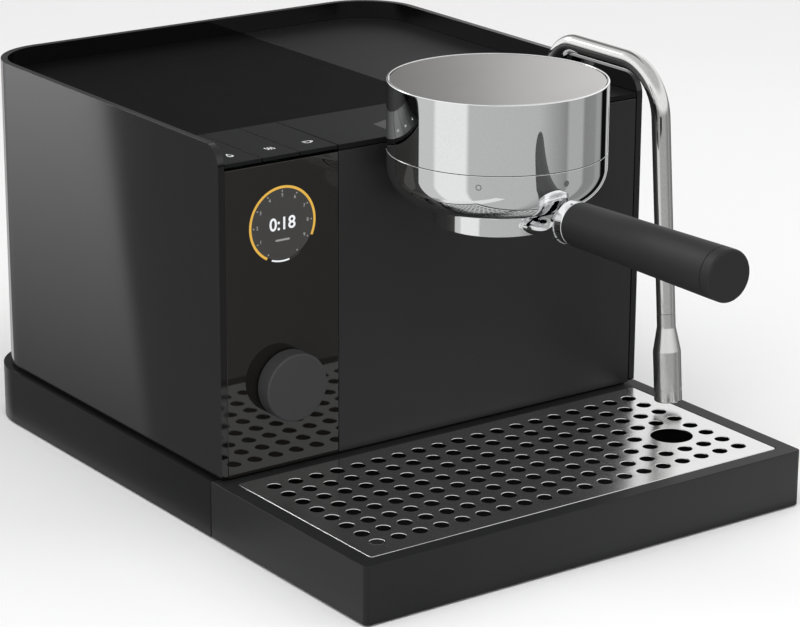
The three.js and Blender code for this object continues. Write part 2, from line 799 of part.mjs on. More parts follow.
const tipProfile = [
  [0, -gap],
  [5.6, -gap],
  [5.6, -7],
  [8.2, -21.5],
  [8.2, -wandTipLength + 1.4],
  [6.4, -wandTipLength],
  [0, -wandTipLength],
];
const tip = add(wand, 'wand_tip', lathe(tipProfile, 20), finishes.chrome);
tip.position.set(0, wandEndY, wandEndZ - gap);
tip.rotation.x = -wandLean;

// ---------------------------------------------------------------- water and steam circuit
const boiler = { x: -20, y: 290 };
const heater = { x: [-132, -92], y: [318, 356] };

function boilerTank() {
  const body = lathe([[0, 44], [28, 47], [36, 56], [36, 140], [28, 149], [0, 152]], 24);
  const legs = [90, 210, 330].map((angle) => {
    const leg = box([26, 32], [-4, 4], [4.3, 60]);
    return leg.rotateZ(THREE.MathUtils.degToRad(angle));
  });
  return join(body, ...legs).translate(boiler.x, boiler.y, 0);
}

function steamHeater() {
  const block = box(heater.x, heater.y, [74, 150]);
  const finX = [heater.x[1] - 1, heater.x[1] + 6];
  const fins = [320, 330, 340, 350].map((y) => box(finX, [y, y + 4], [80, 144]));
  const legs = [heater.x[0] + 5, heater.x[1] - 5].map((x) => box([x - 3, x + 3], [334, 340], [4.3, 75]));
  return join(block, ...fins, ...legs);
}

function pumpBody() {
  const coil = box([-124, -84], [205, 245], [10, 50]);
  const barrel = disc(14, [0, 94], 20).rotateX(-Math.PI / 2).translate(-104, 184, 30);
  const nozzles = disc(4, [0, 112], 12).rotateX(-Math.PI / 2).translate(-104, 175, 30);
  const mounts = [210, 240].map((y) => box([-110, -98], [y - 4, y + 4], [4.3, 11]));
  return join(coil, barrel, nozzles, ...mounts);
}

function flowMeter() {
  const body = disc(13, [22, 38], 20).translate(-104, 303, 0);
  const stand = box([-110, -98], [297, 309], [4.3, 23]);
  return join(body, stand);
}

function solenoid() {
  const coil = box([56, 86], [152, 186], [120, 150]);
  const stem = disc(8, [104, 168], 16).translate(71, 169, 0);
  const bracket = box([50, 92], [149.6, 153], [112, 160]);
  return join(coil, stem, bracket);
}

function mainBoard() {
  const board = box([-30, 36], [388, 390], [50, 140]);
  const parts = [[-22, 0, 60, 84], [4, 26, 64, 92], [-24, -4, 96, 120], [6, 30, 104, 124]];
  const blocks = parts.map(([x0, x1, z0, z1]) => box([x0, x1], [376, 389], [z0, z1]));
  const stand = box([-20, 20], [386, 392], [4.3, 52]);
  return join(board, stand, ...blocks);
}

function inletSocket() {
  const { x, z, halfWidth, halfHeight } = inlet;
  const y = bodyBack + 1.5;
  const flange = box([x - 20, x + 20], [bodyBack + gap, y], [z - 13, z + 13]);
  const body = box([x - halfWidth, x + halfWidth], [384, y], [z - halfHeight, z + halfHeight]);
  const recess = box([x - 12, x + 12], [393, y + 1], [z - 8, z + 8]);
  const blades = [-7, 0, 7].map((offset) => {
    return box([x + offset - 1, x + offset + 1], [392, 404], [z - 2, z + 2]);
  });
  return join(cut(join(flange, body), recess), ...blades);
}

add(machine, 'boiler', boilerTank(), finishes.steel);
add(machine, 'steam_heater', steamHeater(), finishes.steel);
add(machine, 'pump', pumpBody(), finishes.steel);
add(machine, 'flow_meter', flowMeter(), finishes.whitePlastic);
add(machine, 'solenoid_valve', solenoid(), finishes.steel);
add(machine, 'control_board', mainBoard(), finishes.board);
add(machine, 'inlet_socket', inletSocket(), finishes.satinBlack);

const lines = {
  suction_hose: [3.5, finishes.silicone, [
    [92, 300, 41.5], [92, 300, 34], [90, 320, 20], [84, 352, 13], [60, 376, 12], [20, 378, 12],
    [-40, 368, 14], [-66, 320, 26], [-78, 303, 30], [-89.8, 303, 30],
  ]],
  pressure_hose: [3, finishes.silicone, [
    [-104, 174.2, 30], [-104, 170, 30.5], [-98, 167, 40], [-70, 176, 52], [-40, 205, 64],
    [-26, 236, 76], [-22, 253.6, 80],
  ]],
  brew_pipe: [2.5, finishes.copper, [
    [-20, 290, 152.4], [-20, 290, 162], [-16, 270, 176], [-8, 230, 188], [-2, 190, 198],
    [0, 172, 202], [0, 165.3, 202],
  ]],
  steam_pipe: [2.5, finishes.copper, [
    [-112, 340, 150.4], [-112, 340, 160], [-100, 330, 174], [-60, 300, 190], [0, 250, 196],
    [70, 222, 192], [120, 212, 180], [132.5, 209, 184], [132.5, 209, 196.6],
  ]],
  drain_hose: [3, finishes.silicone, [
    [71, 169, 103.6], [71, 169, 92], [66, 172, 70], [56, 176, 46], [50, 172, 34],
    [50, 168, 26], [50, 163.5, 24],
  ]],
};
for (const [name, [radius, material, route]] of Object.entries(lines)) {
  add(machine, name, tube(route, radius), material);
}

export default machine;
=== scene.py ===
"""Fine surfaces, procedural materials, studio light and camera for the espresso machine.

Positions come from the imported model's boxes. Metres, +Z up, the front faces -Y."""

import math

import bmesh
import bpy
from mathutils import Matrix, Vector


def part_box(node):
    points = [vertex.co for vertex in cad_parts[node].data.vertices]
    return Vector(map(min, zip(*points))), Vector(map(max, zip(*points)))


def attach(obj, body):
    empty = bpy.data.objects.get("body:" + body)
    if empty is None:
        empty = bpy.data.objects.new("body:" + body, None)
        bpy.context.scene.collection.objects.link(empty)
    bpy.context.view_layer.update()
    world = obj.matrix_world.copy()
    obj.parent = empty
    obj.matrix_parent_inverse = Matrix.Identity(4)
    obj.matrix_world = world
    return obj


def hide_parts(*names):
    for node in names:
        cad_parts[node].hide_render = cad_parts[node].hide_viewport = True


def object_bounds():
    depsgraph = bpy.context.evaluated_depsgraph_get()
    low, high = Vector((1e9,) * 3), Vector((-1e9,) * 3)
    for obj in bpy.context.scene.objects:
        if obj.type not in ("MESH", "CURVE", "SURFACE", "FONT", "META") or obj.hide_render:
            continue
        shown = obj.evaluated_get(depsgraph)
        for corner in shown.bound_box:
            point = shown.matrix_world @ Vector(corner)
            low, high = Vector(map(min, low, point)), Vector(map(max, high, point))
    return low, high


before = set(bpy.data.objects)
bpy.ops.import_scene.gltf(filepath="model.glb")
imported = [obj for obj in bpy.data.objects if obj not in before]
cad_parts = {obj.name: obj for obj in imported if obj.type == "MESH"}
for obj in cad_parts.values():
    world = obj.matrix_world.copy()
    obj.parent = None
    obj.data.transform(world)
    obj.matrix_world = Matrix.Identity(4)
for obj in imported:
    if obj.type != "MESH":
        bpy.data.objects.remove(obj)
cad_low, cad_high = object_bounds()

MM = 0.001
TABLE = cad_low.z
TRAY_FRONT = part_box("drip_tray")[0].y  # depths below are counted from the tray's front face


def y_of(depth):
    """A depth in millimetres behind the tray's front face, as a y in metres."""
    return TRAY_FRONT + depth * MM


def mm(*values):
    """A point, a range or radii given in millimetres."""
    return tuple(value * MM for value in values)


def middle(node):
    low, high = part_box(node)
    return (low + high) / 2


def radius_of(node):
    low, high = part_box(node)
    return (high.x - low.x) / 2


# -------- outlines
def polar(centre, radius, degrees):
    """The point at an angle anticlockwise from +x round a centre."""
    angle = math.radians(degrees)
    return (centre[0] + radius * math.cos(angle), centre[1] + radius * math.sin(angle))


def arc_points(centre, radius, start, end, steps):
    return [polar(centre, radius, start + (end - start) * i / steps) for i in range(steps + 1)]


def circle(centre, radius, steps=48, turn=1):
    """A circle's outline, anticlockwise, or clockwise for turn -1."""
    return arc_points(centre, radius, 0, 360 * turn, steps)[:-1]


def rounded(x, y, radii, steps=14):
    """A rectangle's outline with its own radius at the front left, front right, back right and back left."""
    corners = [
        ((x[0] + radii[0], y[0] + radii[0]), radii[0], 180),
        ((x[1] - radii[1], y[0] + radii[1]), radii[1], 270),
        ((x[1] - radii[2], y[1] - radii[2]), radii[2], 0),
        ((x[0] + radii[3], y[1] - radii[3]), radii[3], 90),
    ]
    points = []
    for centre, radius, start in corners:
        points += arc_points(centre, radius, start, start + 90, steps) if radius else [centre]
    return points


def fillet(points, steps=5):
    """Rounds the corners of an open profile whose points are (a, b) or (a, b, radius)."""
    made = [tuple(points[0][:2])]
    for before, here, after in zip(points, points[1:], points[2:]):
        radius = here[2] if len(here) > 2 else 0
        corner = Vector(here[:2])
        back = Vector(before[:2]) - corner
        ahead = Vector(after[:2]) - corner
        if radius <= 0:
            made.append(tuple(corner))
            continue
        half = back.angle(ahead) / 2
        reach = min(radius / math.tan(half), back.length * 0.49, ahead.length * 0.49)
        first, last = corner + back.normalized() * reach, corner + ahead.normalized() * reach
        for i in range(steps + 1):
            t = i / steps
            blend = first * (1 - t) ** 2 + corner * 2 * t * (1 - t) + last * t ** 2
            made.append(tuple(blend))
    made.append(tuple(points[-1][:2]))
    return made


# -------- pieces
def shade(mesh, angle):
    """Smooth faces with sharp edges where the surface turns by more than the angle."""
    work = bmesh.new()
    work.from_mesh(mesh)
    bmesh.ops.remove_doubles(work, verts=work.verts, dist=1e-7)
    bmesh.ops.dissolve_degenerate(work, dist=1e-8, edges=work.edges)
    bmesh.ops.recalc_face_normals(work, faces=work.faces)
    for face in work.faces:
        face.smooth = True
    for edge in work.edges:
        edge.smooth = len(edge.link_faces) == 2 and edge.calc_face_angle(0) < math.radians(angle)
    work.to_mesh(mesh)
    work.free()


def soften(piece, width, segments=3, angle=35, weld=False):
    """Rounds the sharp edges and keeps the flat faces flat in the shading."""
    if weld:
        piece.modifiers.new("weld", "WELD").merge_threshold = 1e-6
    bevel = piece.modifiers.new("edges", "BEVEL")
    bevel.width = width
    bevel.segments = segments
    bevel.limit_method = "ANGLE"
    bevel.angle_limit = math.radians(angle)
    bevel.use_clamp_overlap = True
    piece.modifiers.new("normals", "WEIGHTED_NORMAL").keep_sharp = True
    return piece


def add_piece(name, mesh, finish, body, replaced=()):
    """Puts a mesh into the scene as a piece of a body."""
    made = bpy.data.objects.new(name, mesh)
    bpy.context.scene.collection.objects.link(made)
    mesh.materials.clear()
    mesh.materials.append(finish)
    if body:
        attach(made, body)
    if replaced:
        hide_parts(*replaced)
    return made


def keep_flat(made):
    """Keeps the flat faces flat in the shading."""
    made.modifiers.new("normals", "WEIGHTED_NORMAL").keep_sharp = True


def piece(name, vertices, faces, finish, body, slot, replaced=(), angle=35, bevel=0.0, segments=3):
    """A piece that is smooth where it turns by less than the angle. The bevel is its edges' rounding."""
    mesh = bpy.data.meshes.new(name)
    mesh.from_pydata([tuple(v) for v in vertices], [], faces)
    shade(mesh, angle)
    made = add_piece(name, mesh, finish, body, replaced)
    if bevel:
        soften(made, bevel, segments, angle)
    else:
        keep_flat(made)
    return made


def skin(count, loops):
    """The quads between closed loops of count vertices that are numbered one loop after the other."""
    return [
        (k * count + i, k * count + (i + 1) % count, (k + 1) * count + (i + 1) % count, (k + 1) * count + i)
        for k in range(loops - 1)
        for i in range(count)
    ]


def ends(count, loops):
    """The first and the last loop as faces."""
    return [tuple(range(count)), tuple((loops - 1) * count + i for i in range(count))]


def stack(loops):
    """Vertices and faces of a closed body through loops [(outline, z), ...] with equal numbers of points."""
    count = len(loops[0][0])
    first, last = ends(count, len(loops))
    vertices = [(x, y, z) for outline, z in loops for x, y in outline]
    return vertices, [*skin(count, len(loops)), first[::-1], last]


def lathe(profile, centre=(0, 0, 0), axis="Z", steps=96):
    """Revolves (radius, height) points. The height runs along +Z, or along -Y for axis "-Y"."""
    vertices, rings = [], []
    for radius, height in profile:
        if radius < 1e-9:
            rings.append([len(vertices)])
            vertices.append(Vector((0, 0, height)))
            continue
        rings.append(list(range(len(vertices), len(vertices) + steps)))
        for i in range(steps):
            angle = 2 * math.pi * i / steps
            vertices.append(Vector((radius * math.cos(angle), radius * math.sin(angle), height)))
    closed = profile[0] == profile[-1] and profile[0][0] > 1e-9
    if closed:
        rings[-1] = rings[0]
    faces = []
    for low, high in zip(rings, rings[1:]):
        for i in range(steps):
            j = (i + 1) % steps
            quad = [low[i % len(low)], low[j % len(low)], high[j % len(high)], high[i % len(high)]]
            face = [v for n, v in enumerate(quad) if v not in quad[:n]]
            if len(face) > 2:
                faces.append(face)
    if axis == "-Y":
        vertices = [Vector((v.x, -v.z, v.y)) for v in vertices]
    return [v + Vector(centre) for v in vertices], faces


def sweep(path, radius, steps=32):
    """A closed tube round a path that lies in a plane x = constant."""
    vertices = []
    across = Vector((1, 0, 0))
    for before, point, after in zip([path[0], *path], path, [*path[1:], path[-1]]):
        up = (after - before).normalized().cross(across).normalized()
        for k in range(steps):
            angle = 2 * math.pi * k / steps
            vertices.append(point + (across * math.cos(angle) + up * math.sin(angle)) * radius)
    first, last = ends(steps, len(path))
    return vertices, [*skin(steps, len(path)), first, last[::-1]]


def joined(*shells):
    vertices, faces = [], []
    for some_vertices, some_faces in shells:
        start = len(vertices)
        vertices += list(some_vertices)
        faces += [tuple(start + v for v in face) for face in some_faces]
    return vertices, faces


def block(x, y, z):
    outline = rounded(x, y, (0, 0, 0, 0))
    return stack([(outline, z[0]), (outline, z[1])])


def cut(target, *cutters):
    """Takes closed shells out of a piece, before its edges are rounded."""
    for number, (vertices, faces) in enumerate(cutters):
        tool = piece(f"cutter_{number}", vertices, faces, target.data.materials[0], None, None)
        tool.modifiers.clear()
        tool.hide_render = True
        knife = target.modifiers.new(f"cut_{number}", "BOOLEAN")
        knife.object = tool
        knife.operation = "DIFFERENCE"
        knife.solver = "EXACT"
        bpy.context.view_layer.objects.active = target
        while target.modifiers[0] != knife:
            bpy.ops.object.modifier_move_up(modifier=knife.name)
        bpy.ops.object.modifier_apply(modifier=knife.name)
        bpy.data.objects.remove(tool)
    shade(target.data, 35)


def mesh_of(name, curve):
    """A curve's or a text's mesh."""
    holder = bpy.data.objects.new(name + "_curve", curve)
    bpy.context.scene.collection.objects.link(holder)
    bpy.context.view_layer.update()
    mesh = bpy.data.meshes.new_from_object(holder.evaluated_get(bpy.context.evaluated_depsgraph_get()))
    mesh.name = name
    bpy.data.objects.remove(holder)
    return mesh


def sheet(name, outlines, low, high, bevel, finish, body, slot, replaced=(), upright=False):
    """A plate with rounded edges. The first outline is the outside, the others are holes.

    An upright plate's outlines are (x, z) points and its thickness runs along y."""
    curve = bpy.data.curves.new(name, "CURVE")
    curve.dimensions = "2D"
    curve.fill_mode = "BOTH"
    for outline in outlines:
        line = curve.splines.new("POLY")
        line.points.add(len(outline) - 1)
        for point, (x, y) in zip(line.points, outline):
            point.co = (x, y, 0, 1)
        line.use_cyclic_u = True
    curve.extrude = (high - low) / 2 - bevel
    curve.bevel_depth = bevel
    curve.bevel_resolution = 2
    curve.offset = -bevel
    mesh = mesh_of(name, curve)
    for vertex in mesh.vertices:
        x, y, z = vertex.co
        vertex.co = (x, (low + high) / 2 - z, y) if upright else (x, y, (low + high) / 2 + z)
    shade(mesh, 40)
    made = add_piece(name, mesh, finish, body, replaced)
    keep_flat(made)
    return made


# -------- materials
def feed(tree, socket, value):
    """Links a socket to another one, or sets its value."""
    if isinstance(value, bpy.types.NodeSocket):
        tree.links.new(value, socket)
    elif value is not None:
        socket.default_value = value


def add_node(tree, kind, *values, **settings):
    """Adds a node. Its sockets are fed by name, or in their order, and other settings are its properties."""
    made = tree.nodes.new("ShaderNode" + kind)
    for key, value in settings.items():
        socket = key.replace("_", " ")
        if socket in made.inputs:
            feed(tree, made.inputs[socket], value)
        else:
            setattr(made, key, value)
    for number, value in enumerate(values):
        feed(tree, made.inputs[number], value)
    return made


def maths(tree, operation, *values):
    return add_node(tree, "Math", *values, operation=operation).outputs["Value"]


def map_range(tree, value, start, end, low, high, smooth=False):
    """Takes a value from the range start to end into the range low to high."""
    kind = "SMOOTHSTEP" if smooth else "LINEAR"
    ends = {"From_Min": start, "From_Max": end, "To_Min": low, "To_Max": high}
    made = add_node(tree, "MapRange", Value=value, interpolation_type=kind, **ends)
    return made.outputs["Result"]


def object_place(tree):
    return add_node(tree, "TexCoord").outputs["Object"]


def object_parts(tree):
    """A point's x, y and z in the object's own space."""
    return add_node(tree, "SeparateXYZ", object_place(tree)).outputs


def colour_between(tree, factor, dark, light, positions=(0, 1)):
    """A colour that goes from dark to light while the factor goes from one position to the other."""
    ramp = add_node(tree, "ValToRGB", Fac=factor)
    for element, position, colour in zip(ramp.color_ramp.elements, positions, (dark, light)):
        element.position = position
        element.color = (*colour, 1)
    return ramp.outputs["Color"]


def new_material(name):
    """A material, its tree and the inputs of its shader."""
    made = bpy.data.materials.new(name)
    made.use_nodes = True
    return made, made.node_tree, made.node_tree.nodes["Principled BSDF"].inputs


CLOUD = 14  # features per metre of the broad noise
DRIFT = (0.35, 0.65)  # the part of the noise's range over which colour and roughness change


def surface(
    name, dark, light, roughness, grain=900, height=0.0, specular=0.5, metallic=0.0, tint=(0, 0),
    stretch=(1, 1, 1)
):
    """A material whose colour and roughness drift softly over the surface, with a fine grain in relief.

    dark and light are the ends of the colour drift: colours, or greys that tint shifts in green and blue.
    roughness holds the ends of its own drift, grain is the scale of the fine noise in features per metre,
    height its relief in metres, and stretch draws it out along an axis."""
    made, tree, shader = new_material(name)
    shader["Metallic"].default_value = metallic
    shader["Specular IOR Level"].default_value = specular
    place = object_place(tree)
    drawn = add_node(tree, "Mapping", Vector=place, Scale=stretch).outputs["Vector"]
    broad = add_node(tree, "TexNoise", Vector=place, Scale=CLOUD, Detail=3.0, Roughness=0.55).outputs["Fac"]
    fine = add_node(tree, "TexNoise", Vector=drawn, Scale=grain, Detail=2.0, Roughness=0.6).outputs["Fac"]
    noise = maths(tree, "MULTIPLY", maths(tree, "ADD", broad, fine), 0.5)
    tones = [t if isinstance(t, tuple) else (t, t + tint[0], t + tint[1]) for t in (dark, light)]
    feed(tree, shader["Base Color"], colour_between(tree, noise, *tones, DRIFT))
    feed(tree, shader["Roughness"], map_range(tree, noise, *DRIFT, *roughness))
    if height:
        relief = add_node(tree, "Bump", Height=fine, Strength=0.5, Distance=height)
        feed(tree, shader["Normal"], relief.outputs["Normal"])
    return made


def lattice(made, pitch, height):
    """Adds a diagonal lattice of small raised dots to a material's relief."""
    tree = made.node_tree
    place = object_parts(tree)
    waves = []
    for sign in (1, -1):
        along = maths(tree, "MULTIPLY_ADD", place["Y"], sign, place["X"])
        phase = maths(tree, "MULTIPLY", along, 2 * math.pi / (pitch * math.sqrt(2)))
        waves.append(maths(tree, "SINE", phase))
    relief = add_node(tree, "Bump", Height=maths(tree, "MULTIPLY", *waves), Strength=0.9, Distance=height)
    feed(tree, tree.nodes["Principled BSDF"].inputs["Normal"], relief.outputs["Normal"])
    return made


def glowing(name, colour):
    """A lit area of the display, with a faint drift of its brightness."""
    made, tree, shader = new_material(name)
    shader["Base Color"].default_value = (0.01, 0.01, 0.01, 1)
    shader["Roughness"].default_value = 0.1
    shader["Emission Strength"].default_value = 1.0
    noise = add_node(tree, "TexNoise", Vector=object_place(tree), Scale=120.0, Detail=1.0)
    darker = [c * 0.9 for c in colour]
    feed(tree, shader["Emission Color"], colour_between(tree, noise.outputs["Fac"], darker, colour))
    return made


COOL = (0.0002, 0.0005)
satin_black = surface("satin_black", 0.004, 0.007, (0.36, 0.44), 1800, 3e-5, 0.16, tint=COOL)
tray_black = surface("tray_black", 0.014, 0.018, (0.36, 0.44), 1800, 3e-5, 0.15, tint=COOL)
strip_black = surface("strip_black", 0.007, 0.01, (0.32, 0.38), 2200, 2e-5, 0.06, tint=COOL)
panel_black = surface("panel_black", 0.01, 0.0125, (0.38, 0.44), 2000, 1e-5, 0.45, tint=(0, 0.0002))
gloss_black = surface("gloss_black", 0.002, 0.004, (0.06, 0.08), 700, 2e-6, tint=(0, 0.0002))
lid_black = surface("lid_black", 0.004, 0.006, (0.3, 0.36), 2200, 2e-5, 0.1, tint=(0, 0.0002))
glass_tones = ((0.0085, 0.0078, 0.0066), (0.0105, 0.0098, 0.0084))
glass_black = surface("display_glass", *glass_tones, (0.015, 0.035), 500)
grip_black = surface("grip_black", 0.013, 0.018, (0.5, 0.58), 2400, 4e-5, 0.3, tint=(0, 0.0005))
knob_black = surface("knob_black", 0.034, 0.042, (0.48, 0.56), 2400, 3e-5, 0.4, tint=(0, 0.001))
rubber = surface("rubber", 0.012, 0.02, (0.7, 0.85), 1500, 5e-5, 0.3)
mat_plain = surface("mat_rubber", 0.0022, 0.0038, (0.45, 0.55), 1800, 0.0, 0.02, tint=(0, 0.0001))
mat_rubber = lattice(mat_plain, pitch=2.2 * MM, height=0.12 * MM)
chrome = surface("chrome", 0.86, 0.92, (0.02, 0.035), 800, metallic=1.0, tint=(0.005, 0.01))
wand_steel = surface("polished_steel", 0.64, 0.74, (0.05, 0.09), 900, metallic=1.0, tint=(0, -0.01))
tip_steel = surface("satin_tip_steel", 0.6, 0.7, (0.17, 0.22), 1800, 3e-6, metallic=1.0, tint=(0, -0.01))
grate_steel = surface("grate_steel", 0.74, 0.86, (0.19, 0.25), 1500, metallic=1.0, stretch=(1, 12, 1))
float_grey = surface("float_grey", 0.2, 0.26, (0.25, 0.32), 1200, metallic=1.0)
cap_steel = surface("cap_steel", 0.49, 0.57, (0.09, 0.13), 2600, 4e-6, metallic=1.0, tint=(-0.016, -0.035))
steel = surface("steel", 0.42, 0.56, (0.25, 0.4), 1400, metallic=1.0, stretch=(1, 10, 1))
brass = surface("brass", (0.5, 0.34, 0.12), (0.62, 0.44, 0.17), (0.24, 0.36), metallic=1.0)
copper = surface("copper", (0.5, 0.2, 0.1), (0.66, 0.3, 0.17), (0.25, 0.38), metallic=1.0)
white_plastic = surface("white_plastic", 0.6, 0.7, (0.4, 0.5), 1500, 2e-5, tint=(0, -0.02))
silicone = surface("silicone", 0.5, 0.62, (0.35, 0.5), 700, tint=(0, -0.04))
board_green = surface("board_green", (0.012, 0.075, 0.035), (0.02, 0.12, 0.055), (0.3, 0.5), 600)
mark_grey = surface("mark_grey", 0.09, 0.13, (0.4, 0.5), 1500)
mark_white = surface("mark_white", 0.75, 0.85, (0.5, 0.6), 1500)
lens_grey = surface("lens_grey", 0.03, 0.04, (0.15, 0.2), tint=(0, 0.001))
tank_plastic = surface("tank_plastic", 0.3, 0.36, (0.05, 0.1), 400, tint=(0.03, 0.06))
tank_plastic.node_tree.nodes["Principled BSDF"].inputs["Alpha"].default_value = 0.45

# -------- base, feet and tray
plinth_low, plinth_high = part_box("base_plinth")
shell_low, shell_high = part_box("body_shell")
tray_low, tray_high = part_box("drip_tray")
grate_low, grate_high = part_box("drip_grate")

BASE_TOP = grate_high.z
STEP_INSET = 6.5 * MM
PLINTH_CORNER = 40 * MM
SHELL_CORNER = 38 * MM
WALL = 4 * MM
GAP = 0.3 * MM
TONGUES = mm(-90, 90)  # where the base's tongues enter the tray

base_back = shell_high.y + 4 * MM  # the casing's back stands 4 mm inside the base's
plinth_front = tray_high.y + GAP


def plinth_outline(inset):
    """The base's outline, moved in at its sides and its back."""
    sides = (plinth_low.x + inset, plinth_high.x - inset)
    corners = (0.8 * MM, 0.8 * MM, PLINTH_CORNER - inset, PLINTH_CORNER - inset)
    return rounded(sides, (plinth_front, base_back - inset), corners, 24)


outside, step = plinth_outline(0), plinth_outline(STEP_INSET)
tongue_y = (plinth_low.y, plinth_front + 3 * MM)
tongues = [block((x - 12 * MM, x + 12 * MM), tongue_y, mm(10, 22)) for x in TONGUES]
body = stack([(outside, plinth_low.z), (outside, BASE_TOP), (step, BASE_TOP), (step, plinth_high.z)])
base = joined(body, *tongues)
piece("plinth", *base, satin_black, "machine", "satin_black", ["base_plinth"], bevel=0.8 * MM, segments=4)

for owner, feet in (
    ("machine", ("foot_front_left", "foot_front_right", "foot_back_left", "foot_back_right")),
    ("tray", ("tray_foot_left", "tray_foot_right")),
):
    for node in feet:
        low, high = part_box(node)
        radius = radius_of(node)
        hollow_z = low.z + 0.5 * MM
        hollow = [(0, hollow_z), (radius * 0.55, hollow_z, 0.2 * MM), (radius * 0.6, low.z, 0.2 * MM)]
        profile = fillet([*hollow, (radius, low.z, 0.5 * MM), (radius, high.z, 0.3 * MM), (0, high.z)])
        centre = (middle(node).x, middle(node).y, 0)
        piece(node + "_pad", *lathe(profile, centre, steps=48), rubber, owner, "rubber", [node])

ledge = (grate_low.x - GAP, grate_high.x + GAP)
ledge_outline = rounded(ledge, (grate_low.y - GAP, grate_high.y + GAP), mm(2.2, 2.2, 2.2, 2.2))
basin = (ledge[0] + 3.8 * MM, ledge[1] - 3.8 * MM)
basin_outline = rounded(basin, (grate_low.y + 3.5 * MM, grate_high.y - 3.5 * MM), mm(6, 6, 6, 6))
tray_outline = rounded((tray_low.x, tray_high.x), (tray_low.y, tray_high.y), mm(3, 3, 0.4, 0.4))
tray_body = stack(
    [
        (tray_outline, tray_low.z),
        (tray_outline, tray_high.z),
        (ledge_outline, tray_high.z),
        (ledge_outline, grate_low.z - GAP),
        (basin_outline, grate_low.z - GAP),
        (basin_outline, tray_low.z + 5 * MM),
    ]
)
look = (tray_black, "tray", "satin_black", ["drip_tray"])
tray = piece("tray_tub", *tray_body, *look, bevel=0.7 * MM, segments=4)
pocket = (tray_high.y - 11 * MM, tray_high.y + 1 * MM)
cut(tray, *[block((x - 12.5 * MM, x + 12.5 * MM), pocket, mm(9.5, 22.5)) for x in TONGUES])

HOLE_PITCH = 13.9 * MM
HOLE_RADIUS = 4.2 * MM
first_hole = (-9 * HOLE_PITCH, y_of(25.5))
purge = (105 * MM, y_of(60))
holes = [circle(purge, 12 * MM, 72, -1)]
for column in range(19):
    for row in range(8):
        hole = (first_hole[0] + column * HOLE_PITCH, first_hole[1] + row * HOLE_PITCH)
        if math.dist(hole, purge) > HOLE_PITCH:
            holes.append(circle(hole, HOLE_RADIUS, 32, -1))
grate_outline = rounded((grate_low.x, grate_high.x), (grate_low.y, grate_high.y), mm(2, 2, 2, 2), 6)
plate = ("grate_plate", [grate_outline, *holes], grate_low.z, grate_high.z, 0.35 * MM)
sheet(*plate, grate_steel, "grate", "chrome", ["drip_grate"])
float_low, float_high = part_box("tray_float")
float_profile = [
    (0, float_low.z),
    (7.6 * MM, float_low.z, 0.5 * MM),
    (7.6 * MM, float_low.z + 6 * MM, 0.8 * MM),
    (3.6 * MM, float_low.z + 6.5 * MM, 0.3 * MM),
    (3.6 * MM, float_high.z, 0.2 * MM),
    (0, float_high.z),
]
float_shape = lathe(fillet(float_profile), (*first_hole, 0), steps=48)
piece("float_pin", *float_shape, float_grey, "float", "white_plastic", ["tray_float"])

# -------- casing
RIM_CORNER = 12 * MM


def casing_stations():
    """(outer point, inner point, top) round the casing from its left front edge to its right one."""
    stations = []
    front, top = shell_low.y, shell_high.z
    for i in range(15):
        angle = math.radians(90 * i / 14)
        depth = RIM_CORNER * (1 - math.cos(angle))
        height = top - RIM_CORNER + RIM_CORNER * math.sin(angle)
        stations.append(((shell_low.x, front + depth), (shell_low.x + WALL, front + depth), height))
    corner = (shell_low.x + SHELL_CORNER, shell_high.y - SHELL_CORNER)
    outer, inner = [arc_points(corner, radius, 180, 90, 32) for radius in (SHELL_CORNER, SHELL_CORNER - WALL)]
    stations += [(o, i, top) for o, i in zip(outer, inner)]
    return stations + [((-o[0], o[1]), (-i[0], i[1]), t) for o, i, t in reversed(stations)]


def casing():
    vertices = []
    bottom = shell_low.z
    stations = casing_stations()
    for (ox, oy), (ix, iy), top in stations:
        vertices += [(ox, oy, bottom), (ox, oy, top), (ix, iy, top), (ix, iy, bottom)]
    first, last = ends(4, len(stations))
    return vertices, [*skin(4, len(stations)), (first[0], *first[:0:-1]), last]


def slot_outline(x, z, half_width, half_height):
    """A slot with round ends, seen from behind, as (x, z) points."""
    reach = half_height - half_width
    top = arc_points((x, z + reach), half_width, 0, 180, 10)
    bottom = arc_points((x, z - reach), half_width, 180, 360, 10)
    return top + bottom


def through_back(outline):
    """A cutter with an (x, z) outline that goes through the casing's back wall."""
    vertices, faces = stack([(outline, shell_high.y - 2 * WALL), (outline, shell_high.y + WALL)])
    return [(x, y, z) for x, z, y in vertices], faces


look = (gloss_black, "machine", "gloss_black", ["body_shell"])
shell = piece("casing", *casing(), *look, bevel=0.8 * MM, segments=4)
socket = middle("inlet_socket")
vents = [through_back(slot_outline(*mm(-56 + i * 14, 167.5, 2, 17.5))) for i in range(8)]
across, upwards = [(at - half * MM, at + half * MM) for at, half in ((socket.x, 14.3), (socket.z, 10.5))]
cut(shell, *vents, through_back(rounded(across, upwards, mm(1, 1, 1, 1), 4)))

